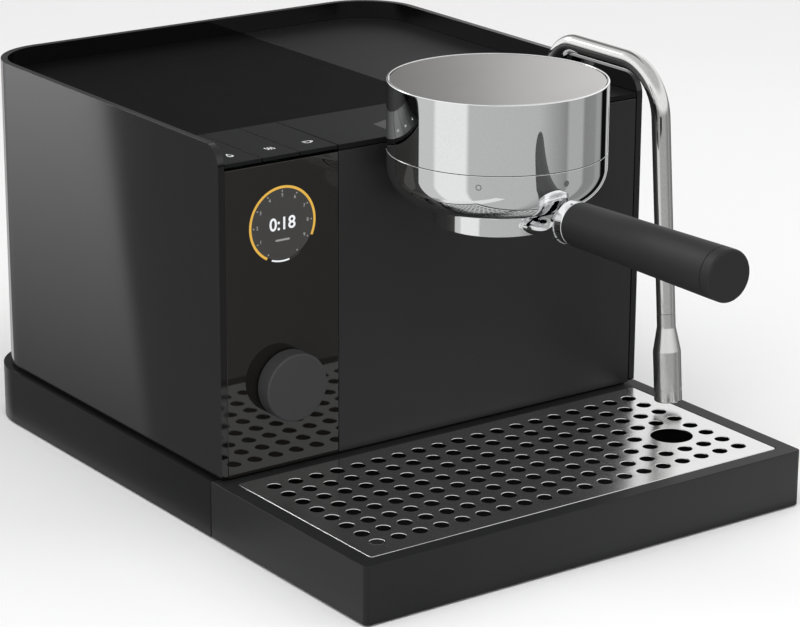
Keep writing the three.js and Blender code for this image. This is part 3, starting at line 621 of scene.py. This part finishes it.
# CAD nodes that keep their own shape: finish, then {bevel in millimetres: nodes}
for finish, kept_nodes in (
    (panel_black, {0.35: ["front_panel"]}),
    (glass_black, {0.35: ["display_glass"]}),
    (strip_black, {0.35: ["button_left", "button_middle", "button_right"]}),
    (satin_black, {0.4: ["inlet_socket"]}),
    (gloss_black, {0.3: ["display_module"]}),
    (tank_plastic, {0.8: ["water_tank"]}),
    (brass, {0.4: ["group_head"]}),
    (rubber, {0.5: ["group_gasket"]}),
    (board_green, {0.2: ["button_board"], 0.3: ["control_board"]}),
    (white_plastic, {0.2: ["encoder_plunger"], 0.6: ["tank_seat"], 0.8: ["flow_meter"]}),
    (silicone, {0: ["suction_hose", "pressure_hose", "drain_hose"]}),
    (copper, {0: ["brew_pipe", "steam_pipe"]}),
    (
        steel,
        {
            0: ["basket_spring"],
            0.1: ["button_hinge_rod"],
            0.2: ["encoder_body", "encoder_shaft"],
            0.3: ["chassis_frame", "deck_plate"],
            0.6: ["group_bracket"],
            0.8: ["boiler", "steam_heater", "pump", "solenoid_valve"],
        },
    ),
):
    for width, names in kept_nodes.items():
        for name in names:
            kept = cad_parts[name]
            kept.data.materials.clear()
            kept.data.materials.append(finish)
            if width:
                soften(kept, width * MM, 2, 40, weld=True)

# -------- top: strip, mat and lid
strip_low, strip_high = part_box("control_strip")
GROUP_RADIUS = radius_of("group_housing")
GROUP = Vector((0, middle("group_housing").y, 0))
mat_low, mat_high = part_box("cup_mat")
lid_low, lid_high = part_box("tank_lid")
wand_x, wand_y, _ = middle("wand_collar")
TUBE_RADIUS = radius_of("wand_tube")

notch_radius = GROUP_RADIUS + 0.4 * MM
notch = math.degrees(math.asin((strip_low.y - GROUP.y) / notch_radius))
strip_step = mat_low.y - GAP
strip_outline = [
    (strip_low.x, strip_low.y),
    *arc_points((0, GROUP.y), notch_radius, 180 - notch, notch, 40),
    (strip_high.x, strip_low.y),
    (strip_high.x, strip_high.y),
    (lid_low.x, strip_high.y),
    (lid_low.x, strip_step),
    (strip_low.x, strip_step),
]
wand_hole = circle((wand_x, wand_y), TUBE_RADIUS + 0.6 * MM, 40, -1)
plate = ("strip", [strip_outline, wand_hole], strip_low.z, strip_high.z, 0.35 * MM)
sheet(*plate, strip_black, "machine", "satin_black", ["control_strip", "indicator_lens"])


def deck_outline(low, high, back_right, back_left):
    """An outline with nearly square corners at the front and its own corners at the back."""
    return rounded((low.x, high.x), (low.y, high.y), (0.2 * MM, 0.2 * MM, back_right, back_left), 24)


DECK_CORNER = SHELL_CORNER - WALL - GAP
PLUG_INSET = 3.8 * MM
mat_outline = deck_outline(mat_low, mat_high, 0.2 * MM, DECK_CORNER)
mat = stack([(mat_outline, mat_low.z), (mat_outline, mat_high.z)])
piece("mat", *mat, mat_rubber, "machine", "mat_black", ["cup_mat"], bevel=0.4 * MM)
lid_outline = deck_outline(lid_low, lid_high, DECK_CORNER, 0.2 * MM)
tank_low, tank_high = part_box("water_tank")
plug_x, plug_y = [(tank_low[i] + PLUG_INSET, tank_high[i] - PLUG_INSET) for i in (0, 1)]
plug_outline = rounded(plug_x, plug_y, mm(1, 1, 27, 1), 24)
lid_top = stack([(lid_outline, mat_low.z), (lid_outline, lid_high.z)])
plug = stack([(plug_outline, lid_low.z), (plug_outline, mat_low.z + 1 * MM)])
piece("lid", *joined(lid_top, plug), lid_black, "lid", "satin_black", ["tank_lid"], bevel=0.4 * MM)

# -------- marks
MARK_BEVEL = 0.01 * MM


def band(centre, inner, outer, start, end, steps=64):
    """The outline of a bent band between two angles, in degrees anticlockwise from +x."""
    return arc_points(centre, outer, start, end, steps) + arc_points(centre, inner, end, start, steps)


def stroke(points, width):
    """The outline of a line of that width through the points."""
    left, right = [], []
    for i, point in enumerate(points):
        ahead = Vector(points[min(i + 1, len(points) - 1)]) - Vector(points[max(i - 1, 0)])
        side = Vector((-ahead.y, ahead.x)).normalized() * width / 2
        left.append(tuple(Vector(point) + side))
        right.append(tuple(Vector(point) - side))
    return left + right[::-1]


screen_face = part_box("display_glass")[0].y
mark_face = screen_face - 0.02 * MM
GAUGE_SHIFT = 1.6 * MM  # the face sits a little left of the module behind the glass
gauge = (middle("display_module").x - GAUGE_SHIFT, middle("display_module").z)
GAUGE_RADIUS = 21.5 * MM
GAUGE_INSIDE = GAUGE_RADIUS - 1.45 * MM
amber = glowing("display_amber", (0.8, 0.46, 0.065))
pale = glowing("display_white", (0.9, 0.92, 0.95))
dim = glowing("display_dim", (0.32, 0.32, 0.32))
screen = glowing("display_screen", (0.038, 0.037, 0.035))


def display_mark(name, outline, finish, face=mark_face, thickness=0.03 * MM):
    """A thin raised mark on the display from an (x, z) outline."""
    plate = (name, [outline], face - thickness, face, MARK_BEVEL)
    return sheet(*plate, finish, "machine", "gloss_black", upright=True)


def gauge_band(name, finish, inset, start, end, steps):
    outline = band(gauge, GAUGE_INSIDE + inset[0] * MM, GAUGE_RADIUS - inset[1] * MM, start, end, steps)
    return display_mark(name, outline, finish)


def label(name, text, size, place, finish):
    """Text on the display, centred at an (x, z) place."""
    curve = bpy.data.curves.new(name, "FONT")
    curve.body = text
    curve.size = size
    curve.extrude = 0.01 * MM
    curve.offset = size * 0.018
    curve.align_x = "CENTER"
    curve.align_y = "CENTER"
    mesh = mesh_of(name, curve)
    for vertex in mesh.vertices:
        x, y, z = vertex.co
        vertex.co = (place[0] + x, mark_face - 0.02 * MM - z, place[1] + y)
    return add_piece(name, mesh, finish, "machine")


display_mark("screen_disc", circle(gauge, GAUGE_INSIDE, 96), screen, screen_face, 0.02 * MM)
scale = [
    gauge_band("gauge_arc", amber, (0, 0), -25.5, 240.9, 120),
    gauge_band("gauge_start", pale, (0.25, 0.25), -110, -78, 24),
    gauge_band("gauge_rest", screen, (0.6, 0.4), -76, -58, 24),
]
for number in range(11):
    angle = 240 - 30 * number
    tick = circle(polar(gauge, 18.6 * MM, angle), 0.45 * MM, 16)
    scale.append(display_mark(f"gauge_tick_{number}", tick, dim))
    if number in range(1, 10):
        place = polar(gauge, 16.3 * MM, angle)
        scale.append(label(f"gauge_number_{number}", str(number), 2.7 * MM, place, dim))
scale.append(label("gauge_time", "0:18", 9.9 * MM, gauge, pale))
bar_x = (gauge[0] - 4.6 * MM, gauge[0] + 4.6 * MM)
bar = rounded(bar_x, (gauge[1] - 9.4 * MM, gauge[1] - 8.3 * MM), mm(0.5, 0.5, 0.5, 0.5), 5)
scale.append(display_mark("gauge_bar", bar, dim))
for mark in scale:
    mark.visible_glossy = False  # the polished group stays free of coloured specks

KEY_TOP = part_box("button_left")[1].z
icon_y = y_of(158)


def drop(x, y, size):
    """A drop's outline with its point towards +y."""
    points = []
    for i in range(40):
        t = 2 * math.pi * i / 40
        points.append((x + size * 0.5 * math.sin(t) * math.sin(t / 2) ** 1.4, y + size * 0.62 * math.cos(t)))
    return points


def drop_icon(x, y):
    return [[drop(x, y, 5.2 * MM), drop(x, y - 0.1 * MM, 3.2 * MM)[::-1]]]


def steam_icon(x, y):
    waves = []
    for shift in (-1.9, 0, 1.9):
        line = []
        for i in range(17):
            sway = 0.45 * MM * math.sin(2 * math.pi * i / 16)
            line.append((x + shift * MM + sway, y + (i / 16 - 0.5) * 4.4 * MM))
        waves.append([stroke(line, 0.8 * MM)])
    return waves


def cup_icon(x, y):
    side = [(x + dx * MM, y + dy * MM) for dx, dy in ((-2.3, 1.6), (-1.9, -1.2), (-1.0, -1.9))]
    cup = side + [(2 * x - px, py) for px, py in reversed(side)]
    rim = [(x - 2.5 * MM, y + 1.6 * MM), (x + 2.5 * MM, y + 1.6 * MM)]
    handle = arc_points((x + 2.2 * MM, y + 0.2 * MM), 1.1 * MM, 80, -90, 12)
    return [[stroke(cup, 0.7 * MM)], [stroke(rim, 0.7 * MM)], [stroke(handle, 0.6 * MM)]]


for side, shift, icon in (("left", 0.3, drop_icon), ("middle", 2.0, steam_icon), ("right", 2.2, cup_icon)):
    node = "button_" + side
    for number, outlines in enumerate(icon(middle(node).x + shift * MM, icon_y)):
        plate = (f"{node}_icon_{number}", outlines, KEY_TOP, KEY_TOP + 0.04 * MM, MARK_BEVEL)
        sheet(*plate, mark_white, "key_" + side, "satin_black")

lens_low, lens_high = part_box("indicator_lens")
tip_y = lens_low.y + (lens_high.y - lens_low.y) * 0.73
front = [(lens_low.x, lens_low.y), (lens_high.x, lens_low.y)]
lens = [*front, (lens_high.x, lens_high.y), (lens_low.x + 0.6 * MM, tip_y)]
plate = ("marker_lens", [lens], strip_high.z, strip_high.z + 0.05 * MM, MARK_BEVEL)
sheet(*plate, lens_grey, "machine", "white_plastic")

# -------- brew group
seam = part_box("group_housing")[0].z - GAP
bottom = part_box("group_collar")[0].z
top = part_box("group_housing")[1].z
throat = 36.3 * MM
lip = bottom + 2.2 * MM
groove = 40 * MM
lower_round = 20 * MM
rim_in = GROUP_RADIUS - 1.3 * MM
inside = 57.5 * MM
ledge_z = top - 2.6 * MM


def group_piece(name, profile, finish, slot, node):
    piece(name, *lathe(profile, GROUP, steps=160), finish, "machine", slot, [node], angle=30)


collar_profile = [
    (throat, bottom + 0.4 * MM),
    (throat + 0.4 * MM, bottom),
    *arc_points((GROUP_RADIUS - lower_round, bottom + lower_round), lower_round, -90, 0, 24),
    *fillet([(GROUP_RADIUS, seam - 3 * MM), (GROUP_RADIUS, seam, 0.25 * MM), (GROUP_RADIUS - 3 * MM, seam)]),
    (groove, seam),
    (groove, lip),
    (throat, lip),
    (throat, bottom + 0.4 * MM),
]
group_piece("collar", collar_profile, chrome, "chrome", "group_collar")
housing_low = seam + GAP
housing_profile = [
    (inside, housing_low + 1 * MM),
    (inside, housing_low),
    (GROUP_RADIUS, housing_low, 0.25 * MM),
    (GROUP_RADIUS, top, 0.7 * MM),
    (rim_in, top, 0.3 * MM),
    (rim_in, ledge_z),
    (inside, ledge_z),
    (inside, housing_low + 1 * MM),
]
group_piece("housing", fillet(housing_profile), chrome, "chrome", "group_housing")
cap_low, cap_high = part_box("group_cap")
cap_radius = radius_of("group_cap")
cap_edge = [(cap_radius, cap_low.z, 0.2 * MM), (cap_radius, cap_high.z, 0.6 * MM)]
cap_profile = [(0, cap_low.z), *cap_edge, (0, cap_high.z)]
group_piece("cap", fillet(cap_profile), cap_steel, "satin_steel", "group_cap")


def collar_mark(name, azimuth, height, inner_radius, outer_radius):
    """A round mark wrapped on the collar, azimuth counted from the front towards +X in degrees."""
    vertices = []
    reach = GROUP_RADIUS + 0.03 * MM
    for radius in (inner_radius, outer_radius):
        for along, up in circle((0, 0), radius, 32):
            turn = math.radians(azimuth) + along / GROUP_RADIUS
            vertices.append((reach * math.sin(turn), GROUP.y - reach * math.cos(turn), height + up))
    piece(name, vertices, skin(32, 2), mark_grey, "machine", "chrome")


collar_mark("mark_open", -46.5, *mm(206.7, 1.15, 1.6))
collar_mark("mark_locked", 0.2, *mm(206.3, 0.02, 1.7))

# -------- portafilter
ring_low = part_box("portafilter_body")[0].z
RING = 34.5 * MM
bore = 31 * MM
barrel = throat - 0.5 * MM
barrel_top = 193.5 * MM
ring_profile = [
    (bore, ring_low + 2 * MM),
    (bore, ring_low, 0.4 * MM),
    (RING, ring_low, 0.6 * MM),
    (RING, bottom - 0.7 * MM, 0.5 * MM),
    (barrel, bottom - 0.7 * MM, 0.2 * MM),
    (barrel, barrel_top, 0.3 * MM),
    (bore, barrel_top, 0.3 * MM),
    (bore, ring_low + 2 * MM),
]


def ears():
    """The two ears that hold the portafilter in the group's groove."""
    shells = []
    for turn in (0, 180):
        outline = band((0, GROUP.y), groove - 0.5 * MM, bore * 1.05, turn - 13, turn + 13, 12)
        shells.append(stack([(outline, 187.1 * MM), (outline, 190.8 * MM)]))
    return shells


NECK = [  # distance from the axis, height, half width, half height, in millimetres
    (30.0, 178.0, 10.6, 5.2),
    (36.0, 178.0, 9.4, 5.0),
    (42.0, 178.2, 8.6, 5.2),
    (50.0, 179.2, 9.0, 6.2),
    (56.0, 181.5, 9.8, 7.7),
    (61.0, 184.6, 11.0, 10.4),
    (64.2, 185.7, 11.6, 11.6),
]


def spline(rows, t):
    """A smooth curve through rows of numbers, t from 0 to 1."""
    place = t * (len(rows) - 1)
    i = min(int(place), len(rows) - 2)
    f = place - i
    p0, p1, p2, p3 = (rows[max(i - 1, 0)], rows[i], rows[i + 1], rows[min(i + 2, len(rows) - 1)])
    return [
        0.5 * (2 * b + (c - a) * f + (2 * a - 5 * b + 4 * c - d) * f * f + (3 * b - a - 3 * c + d) * f ** 3)
        for a, b, c, d in zip(p0, p1, p2, p3)
    ]


def neck(steps=48, bands=48):
    vertices = []
    for k in range(bands + 1):
        along, height, half_width, half_height = mm(*spline(NECK, k / bands))
        for c, s in circle((0, 0), 1, steps):
            vertices.append((half_width * c, GROUP.y - along, height + half_height * s))
    first, last = ends(steps, bands + 1)
    return vertices, [*skin(steps, bands + 1), first, last[::-1]]


portafilter = joined(lathe(fillet(ring_profile), GROUP, steps=128), neck(), *ears())
piece("portafilter", *portafilter, chrome, "portafilter", "chrome", ["portafilter_body"], angle=32)
basket_low, basket_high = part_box("filter_basket")
basket_profile = [
    (0, basket_low.z),
    (28.4 * MM, basket_low.z, 1.2 * MM),
    (29.6 * MM, basket_low.z + 4 * MM),
    (29.6 * MM, basket_high.z - 1.1 * MM, 0.4 * MM),
    (34.6 * MM, basket_high.z - 1.1 * MM, 0.2 * MM),
    (34.6 * MM, basket_high.z, 0.3 * MM),
    (28.8 * MM, basket_high.z, 0.4 * MM),
    (28.8 * MM, basket_low.z + 1 * MM, 1.2 * MM),
    (0, basket_low.z + 1 * MM),
]
piece("basket", *lathe(fillet(basket_profile), GROUP), wand_steel, "portafilter", "steel", ["filter_basket"])

GRIP_RADIUS = radius_of("handle_grip")
FERRULE_RADIUS = radius_of("handle_ferrule")
STUD = 4.3 * MM
TILT = math.radians(0.85)  # the handle rises a little outwards
grip_middle = middle("handle_grip")
axis_height = grip_middle.z - (GROUP.y - grip_middle.y) * math.tan(TILT)


def along(node):
    """Where a node of the handle starts and ends, as distances from the group's axis."""
    low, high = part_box(node)
    lean = radius_of(node) * math.sin(TILT)
    return GROUP.y - high.y + lean, GROUP.y - low.y - lean


def handle_piece(name, profile, finish, slot, node, steps=5):
    vertices, faces = lathe(fillet(profile, steps), axis="-Y")
    lift = Matrix.Rotation(-TILT, 3, "X")
    place = Vector((0, GROUP.y, axis_height))
    piece(name, [lift @ v + place for v in vertices], faces, finish, "portafilter", slot, [node])


start, end = along("handle_ferrule")
ferrule_profile = [
    (STUD, start),
    (FERRULE_RADIUS - 0.9 * MM, start, 0.5 * MM),
    (FERRULE_RADIUS, start + 1.4 * MM, 0.8 * MM),
    (FERRULE_RADIUS, end, 0.5 * MM),
    (STUD, end),
    (STUD, start),
]
handle_piece("ferrule", ferrule_profile, chrome, "chrome", "handle_ferrule")
start, end = along("handle_grip")
grip_profile = [(0, start), (FERRULE_RADIUS, start, 0.3 * MM), (GRIP_RADIUS, end, 0.3 * MM), (0, end)]
handle_piece("grip", grip_profile, grip_black, "grip_black", "handle_grip")
start, end = along("handle_cap")
end_profile = [(0, start), (GRIP_RADIUS, start, 0.3 * MM), (GRIP_RADIUS, end, 1.6 * MM), (0, end)]
handle_piece("grip_end", end_profile, grip_black, "grip_black", "handle_cap", 8)

# -------- knob
knob_low, knob_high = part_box("knob")
knob_radius = radius_of("knob")
depth = knob_high.y - knob_low.y
knob_profile = [
    (3.2 * MM, 0),
    (knob_radius - 0.4 * MM, 0, 0.4 * MM),
    (knob_radius, 1 * MM, 0.5 * MM),
    (knob_radius, depth, 1.3 * MM),
    (0, depth),
]
dial = lathe(fillet(knob_profile, 8), (middle("knob").x, knob_high.y, middle("knob").z), "-Y", 128)
piece("knob_dial", *dial, knob_black, "control_knob", "grip_black", ["knob"])

# -------- shower screen and screw
low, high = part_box("shower_screen")
profile = [(0, low.z), (27 * MM, low.z, 0.8 * MM), (27.8 * MM, high.z, 0.2 * MM), (0, high.z)]
piece("screen_disc_steel", *lathe(fillet(profile), GROUP), wand_steel, "machine", "steel", ["shower_screen"])
low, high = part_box("shower_screw")
profile = [(0, low.z), (5 * MM, low.z, 0.5 * MM), (6 * MM, low.z + 1.7 * MM, 0.2 * MM), (0, high.z)]
piece("screw", *lathe(fillet(profile), GROUP, steps=48), wand_steel, "machine", "steel", ["shower_screw"])

# -------- steam wand
REAR_BEND = 21 * MM
FRONT_BEND = 31 * MM
LEAN = 5  # degrees that the long leg leans forwards
level = 234.5 * MM
end_z = 92 * MM
bend_y = wand_y - 68 * MM
side_path = [
    (wand_y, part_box("wand_tube")[0].z),
    *arc_points((wand_y - REAR_BEND, level - REAR_BEND), REAR_BEND, 0, 90, 16),
    *arc_points((bend_y, level - FRONT_BEND), FRONT_BEND, 90, 180 - LEAN, 20),
]
tube_path = [Vector((wand_x, y, z)) for y, z in side_path]
leg = tube_path[-1]
end_y = leg.y - math.tan(math.radians(LEAN)) * (leg.z - end_z)
tube_path += [leg.lerp(Vector((wand_x, end_y, end_z)), i / 8) for i in range(1, 9)]
piece("wand", *sweep(tube_path, TUBE_RADIUS), wand_steel, "wand", "chrome", ["wand_tube"], angle=40)

TIP = 52.8
tube_mm = TUBE_RADIUS / MM
tip_profile = [
    (0, 0),
    (tube_mm, 0, 0.1),
    (tube_mm, -8, 8),
    (8.2, -22.5, 5),
    (8.2, -44.7, 0.1),
    (8.0, -44.8),
    (8.0, -45.3),
    (8.2, -45.4, 0.1),
    (8.2, -TIP + 0.2, 1.6),
    (6.4, -TIP, 0.4),
    (1.6, -TIP),
    (1.4, -TIP + 1),
    (0, -TIP + 1),
]
tip_vertices, tip_faces = lathe(fillet([mm(*row) for row in tip_profile], 8), steps=72)
lean = Matrix.Rotation(-math.radians(LEAN), 3, "X")
tip_top = Vector((wand_x, end_y, end_z - 0.3 * MM))
tip_vertices = [lean @ v + tip_top for v in tip_vertices]
piece("tip", tip_vertices, tip_faces, tip_steel, "wand", "chrome", ["wand_tip"], angle=38)
low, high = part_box("wand_collar")
outer, inner = radius_of("wand_collar"), TUBE_RADIUS + 0.4 * MM
edge = [(outer, low.z, 0.2 * MM), (outer, high.z, 1.2 * MM)]
profile = [(inner, low.z), *edge, (inner, high.z, 0.3 * MM), (inner, low.z)]
wand_ring = lathe(fillet(profile), (wand_x, wand_y, 0), steps=64)
piece("wand_ring", *wand_ring, chrome, "machine", "chrome", ["wand_collar"])


# -------- floor and studio
def level_sheet(name, corners, height, finish):
    """A flat sheet at a height above the table."""
    face = tuple(range(len(corners)))
    made = piece(name, [(x, y, TABLE + height) for x, y in corners], [face], finish, None, None)
    made.modifiers.clear()
    return made


floor_finish, tree, shader = new_material("floor")
shader["Roughness"].default_value = 0.9
shader["Specular IOR Level"].default_value = 0.1
noise = add_node(tree, "TexNoise", Vector=object_place(tree), Scale=3.0, Detail=2.0).outputs["Fac"]
feed(tree, shader["Base Color"], colour_between(tree, noise, (0.86, 0.86, 0.86), (0.89, 0.89, 0.89)))
floor = level_sheet("floor", [(-30, -30), (30, -30), (30, 30), (-30, 30)], 0, floor_finish)
floor.visible_glossy = False  # polished metal sees the studio below the horizon too

world = bpy.data.worlds.new("studio")
bpy.context.scene.world = world
world.use_nodes = True
sky = world.node_tree
sky.nodes.clear()
ahead = add_node(sky, "SeparateXYZ", add_node(sky, "TexCoord").outputs["Generated"]).outputs
turn = maths(sky, "ARCTAN2", ahead["X"], maths(sky, "MULTIPLY", ahead["Y"], -1))
around = maths(sky, "MULTIPLY_ADD", turn, 1 / (2 * math.pi), 0.5)


def ramp_over(source, stops):
    """A colour ramp over a socket's value from 0 to 1: [(value, brightness), ...]."""
    ramp = add_node(sky, "ValToRGB", Fac=source)
    elements = ramp.color_ramp.elements
    elements.remove(elements[-1])
    elements[0].position = stops[0][0]
    elements[0].color = (*[stops[0][1]] * 3, 1)
    for place, value in stops[1:]:
        elements.new(place).color = (value, value, value, 1)
    return ramp.outputs["Color"]


def ramp_round(stops):
    """A ramp round the studio: [(azimuth in degrees, brightness), ...], 0 in front, +90 at the right."""
    return ramp_over(around, [(azimuth / 360 + 0.5, value) for azimuth, value in stops])


WALLS = [  # the studio's walls and flags as polished metal sees them
    (-180, 1.3), (-152, 1.3), (-148, 0.45), (-131, 0.45), (-129, 0.58), (-107, 0.58), (-103, 0.85),
    (-70, 0.85), (-66, 0.5), (5, 0.48), (22, 0.36), (38, 0.26), (42, 0.42), (60, 0.42),
    (64, 0.24), (82, 0.26), (86, 0.33), (95, 0.33), (98, 0.004), (112, 0.004),
    (115, 0.5), (138, 0.8), (146, 0.3), (165, 0.6), (179, 1.3),
]
HIGH = [
    (-180, 1.2), (-90, 1.2), (-40, 1.1), (0, 1.1), (60, 1.1), (90, 1.0), (137, 1.1), (140, 0.95), (142, 0.66),
    (144, 0.3), (146, 0.22), (152, 0.2), (165, 0.5), (179, 1.2),
]
LAMP = 7
rise = map_range(sky, ahead["Z"], -0.02, 0.22, 0, 1, smooth=True)
walls = (ramp_round(WALLS), ramp_round(HIGH))
room = add_node(sky, "Mix", rise, *[None] * 5, *walls, data_type="RGBA").outputs[2]
overhead = map_range(sky, ahead["Z"], 0.5, 0.8, 1.0, 0.6, smooth=True)
seen = add_node(sky, "LightPath").outputs
# a lamp behind and to the left, seen only by glossy rays, which draws a bright line along the casing's rim
lamp_turn = ramp_round([(-180, 0), (-176, 0), (-170, 1), (-157, 1), (-153, 0), (179, 0)])
lamp_height = ramp_over(ahead["Z"], [(0, 0), (0.38, 0), (0.42, 1), (0.55, 1), (0.59, 0)])
lamp = maths(sky, "MULTIPLY", maths(sky, "MULTIPLY", seen["Is Glossy Ray"], lamp_turn), lamp_height)
studio = add_node(sky, "Background", Color=room, Strength=maths(sky, "MULTIPLY_ADD", lamp, LAMP, overhead))
plain = add_node(sky, "Background", Color=(0.93, 0.93, 0.93, 1), Strength=1.0)
backgrounds = (studio.outputs["Background"], plain.outputs["Background"])
choose = add_node(sky, "MixShader", seen["Is Camera Ray"], *backgrounds)
add_node(sky, "OutputWorld", Surface=choose.outputs["Shader"])


# -------- cards that only polished surfaces see
def bare_material(name):
    """A material without nodes, its tree, and a point's x, y and z in the object's own space."""
    made, tree, _ = new_material(name)
    tree.nodes.clear()
    return made, tree, object_parts(tree)


def card(name, corners, finish):
    made = level_sheet(name, corners, 0.2 * MM, finish)
    for kind in ("camera", "diffuse", "shadow", "transmission"):
        setattr(made, "visible_" + kind, False)


# what the casing's left wall mirrors: a lit floor that fades towards the machine in painted shade and ends
# along a line at the edge of a painted shadow
PAINTED_SHADOW_SLOPE = 1.85
PAINTED_SHADOW_EDGE = -0.215
finish, tree, place = bare_material("ground_card_painted_shadow")
# painted shade: the lit floor dims towards the machine's side
reach = map_range(tree, place["X"], -0.15, -0.6, 0.3, 1.75)
slant = maths(tree, "MULTIPLY_ADD", place["X"], PAINTED_SHADOW_SLOPE, place["Y"])
# painted shadow: in front of this slanted line the floor takes the dimmer, shaded brightness of the next line
edge = map_range(tree, slant, PAINTED_SHADOW_EDGE - 0.012, PAINTED_SHADOW_EDGE + 0.012, 0, 1, smooth=True)
near = map_range(tree, place["Y"], 0.0, -0.03, 0.28, 0.8)
brightness = add_node(tree, "Mix", edge, None, near, reach, data_type="FLOAT").outputs[0]
lit = add_node(tree, "Emission", Strength=brightness)
add_node(tree, "OutputMaterial", Surface=lit.outputs["Emission"])
corners = [(-0.22, -0.35), (-0.156, -0.35), (-0.156, 2.2), (-0.64, 2.2), (-0.64, 0.6), (-0.22, 0.04)]
card("ground_card_painted_shadow", corners, finish)

# what the tray's front face mirrors: the lit floor close before it, brighter towards the right
finish, tree, place = bare_material("front_card")
lit = add_node(tree, "Emission", Strength=map_range(tree, place["X"], -0.1, 0.2, 0.6, 2.1))
near = maths(tree, "LESS_THAN", add_node(tree, "LightPath").outputs["Ray Length"], 0.13)
clear = add_node(tree, "BsdfTransparent")
either = add_node(tree, "MixShader", near, clear.outputs["BSDF"], lit.outputs["Emission"])
add_node(tree, "OutputMaterial", Surface=either.outputs["Shader"])
card("front_card", [(-0.15, -0.32), (0.4, -0.32), (0.4, -0.163), (-0.15, -0.163)], finish)


# -------- light and camera
def softbox(name, place, size, power, aim=(0, 0, 0.1)):
    lamp = bpy.data.lights.new(name, "AREA")
    lamp.shape = "RECTANGLE"
    lamp.size, lamp.size_y = size
    lamp.energy = power
    made = bpy.data.objects.new(name, lamp)
    bpy.context.scene.collection.objects.link(made)
    made.location = place
    made.rotation_mode = "QUATERNION"
    made.rotation_quaternion = (Vector(aim) - Vector(place)).to_track_quat("-Z", "Y")
    made.visible_glossy = False


softbox("key", (-0.6, -0.5, 1.9), (1.6, 1.2), 16)
softbox("fill", (1.4, -0.9, 1.5), (1.2, 1.2), 7)

camera_data = bpy.data.cameras.new("camera")
camera = bpy.data.objects.new("camera", camera_data)
bpy.context.scene.collection.objects.link(camera)
camera_data.sensor_width = 36
camera_data.lens = 136.62
azimuth, elevation, roll = math.radians(-35.649), math.radians(17.98), math.radians(0.302)
flat = math.cos(elevation)
back = Vector((math.sin(azimuth) * flat, -math.cos(azimuth) * flat, math.sin(elevation)))
right = Vector((0, 0, 1)).cross(back).normalized()
up = back.cross(right)
turned_right = right * math.cos(roll) + up * math.sin(roll)
turned_up = up * math.cos(roll) - right * math.sin(roll)
eye = Vector((-971.2 * MM, y_of(-1173.6), 635.1 * MM))
camera.matrix_world = Matrix.Translation(eye) @ Matrix((turned_right, turned_up, back)).transposed().to_4x4()
bpy.context.scene.camera = camera
bpy.context.scene.view_settings.view_transform = "Standard"
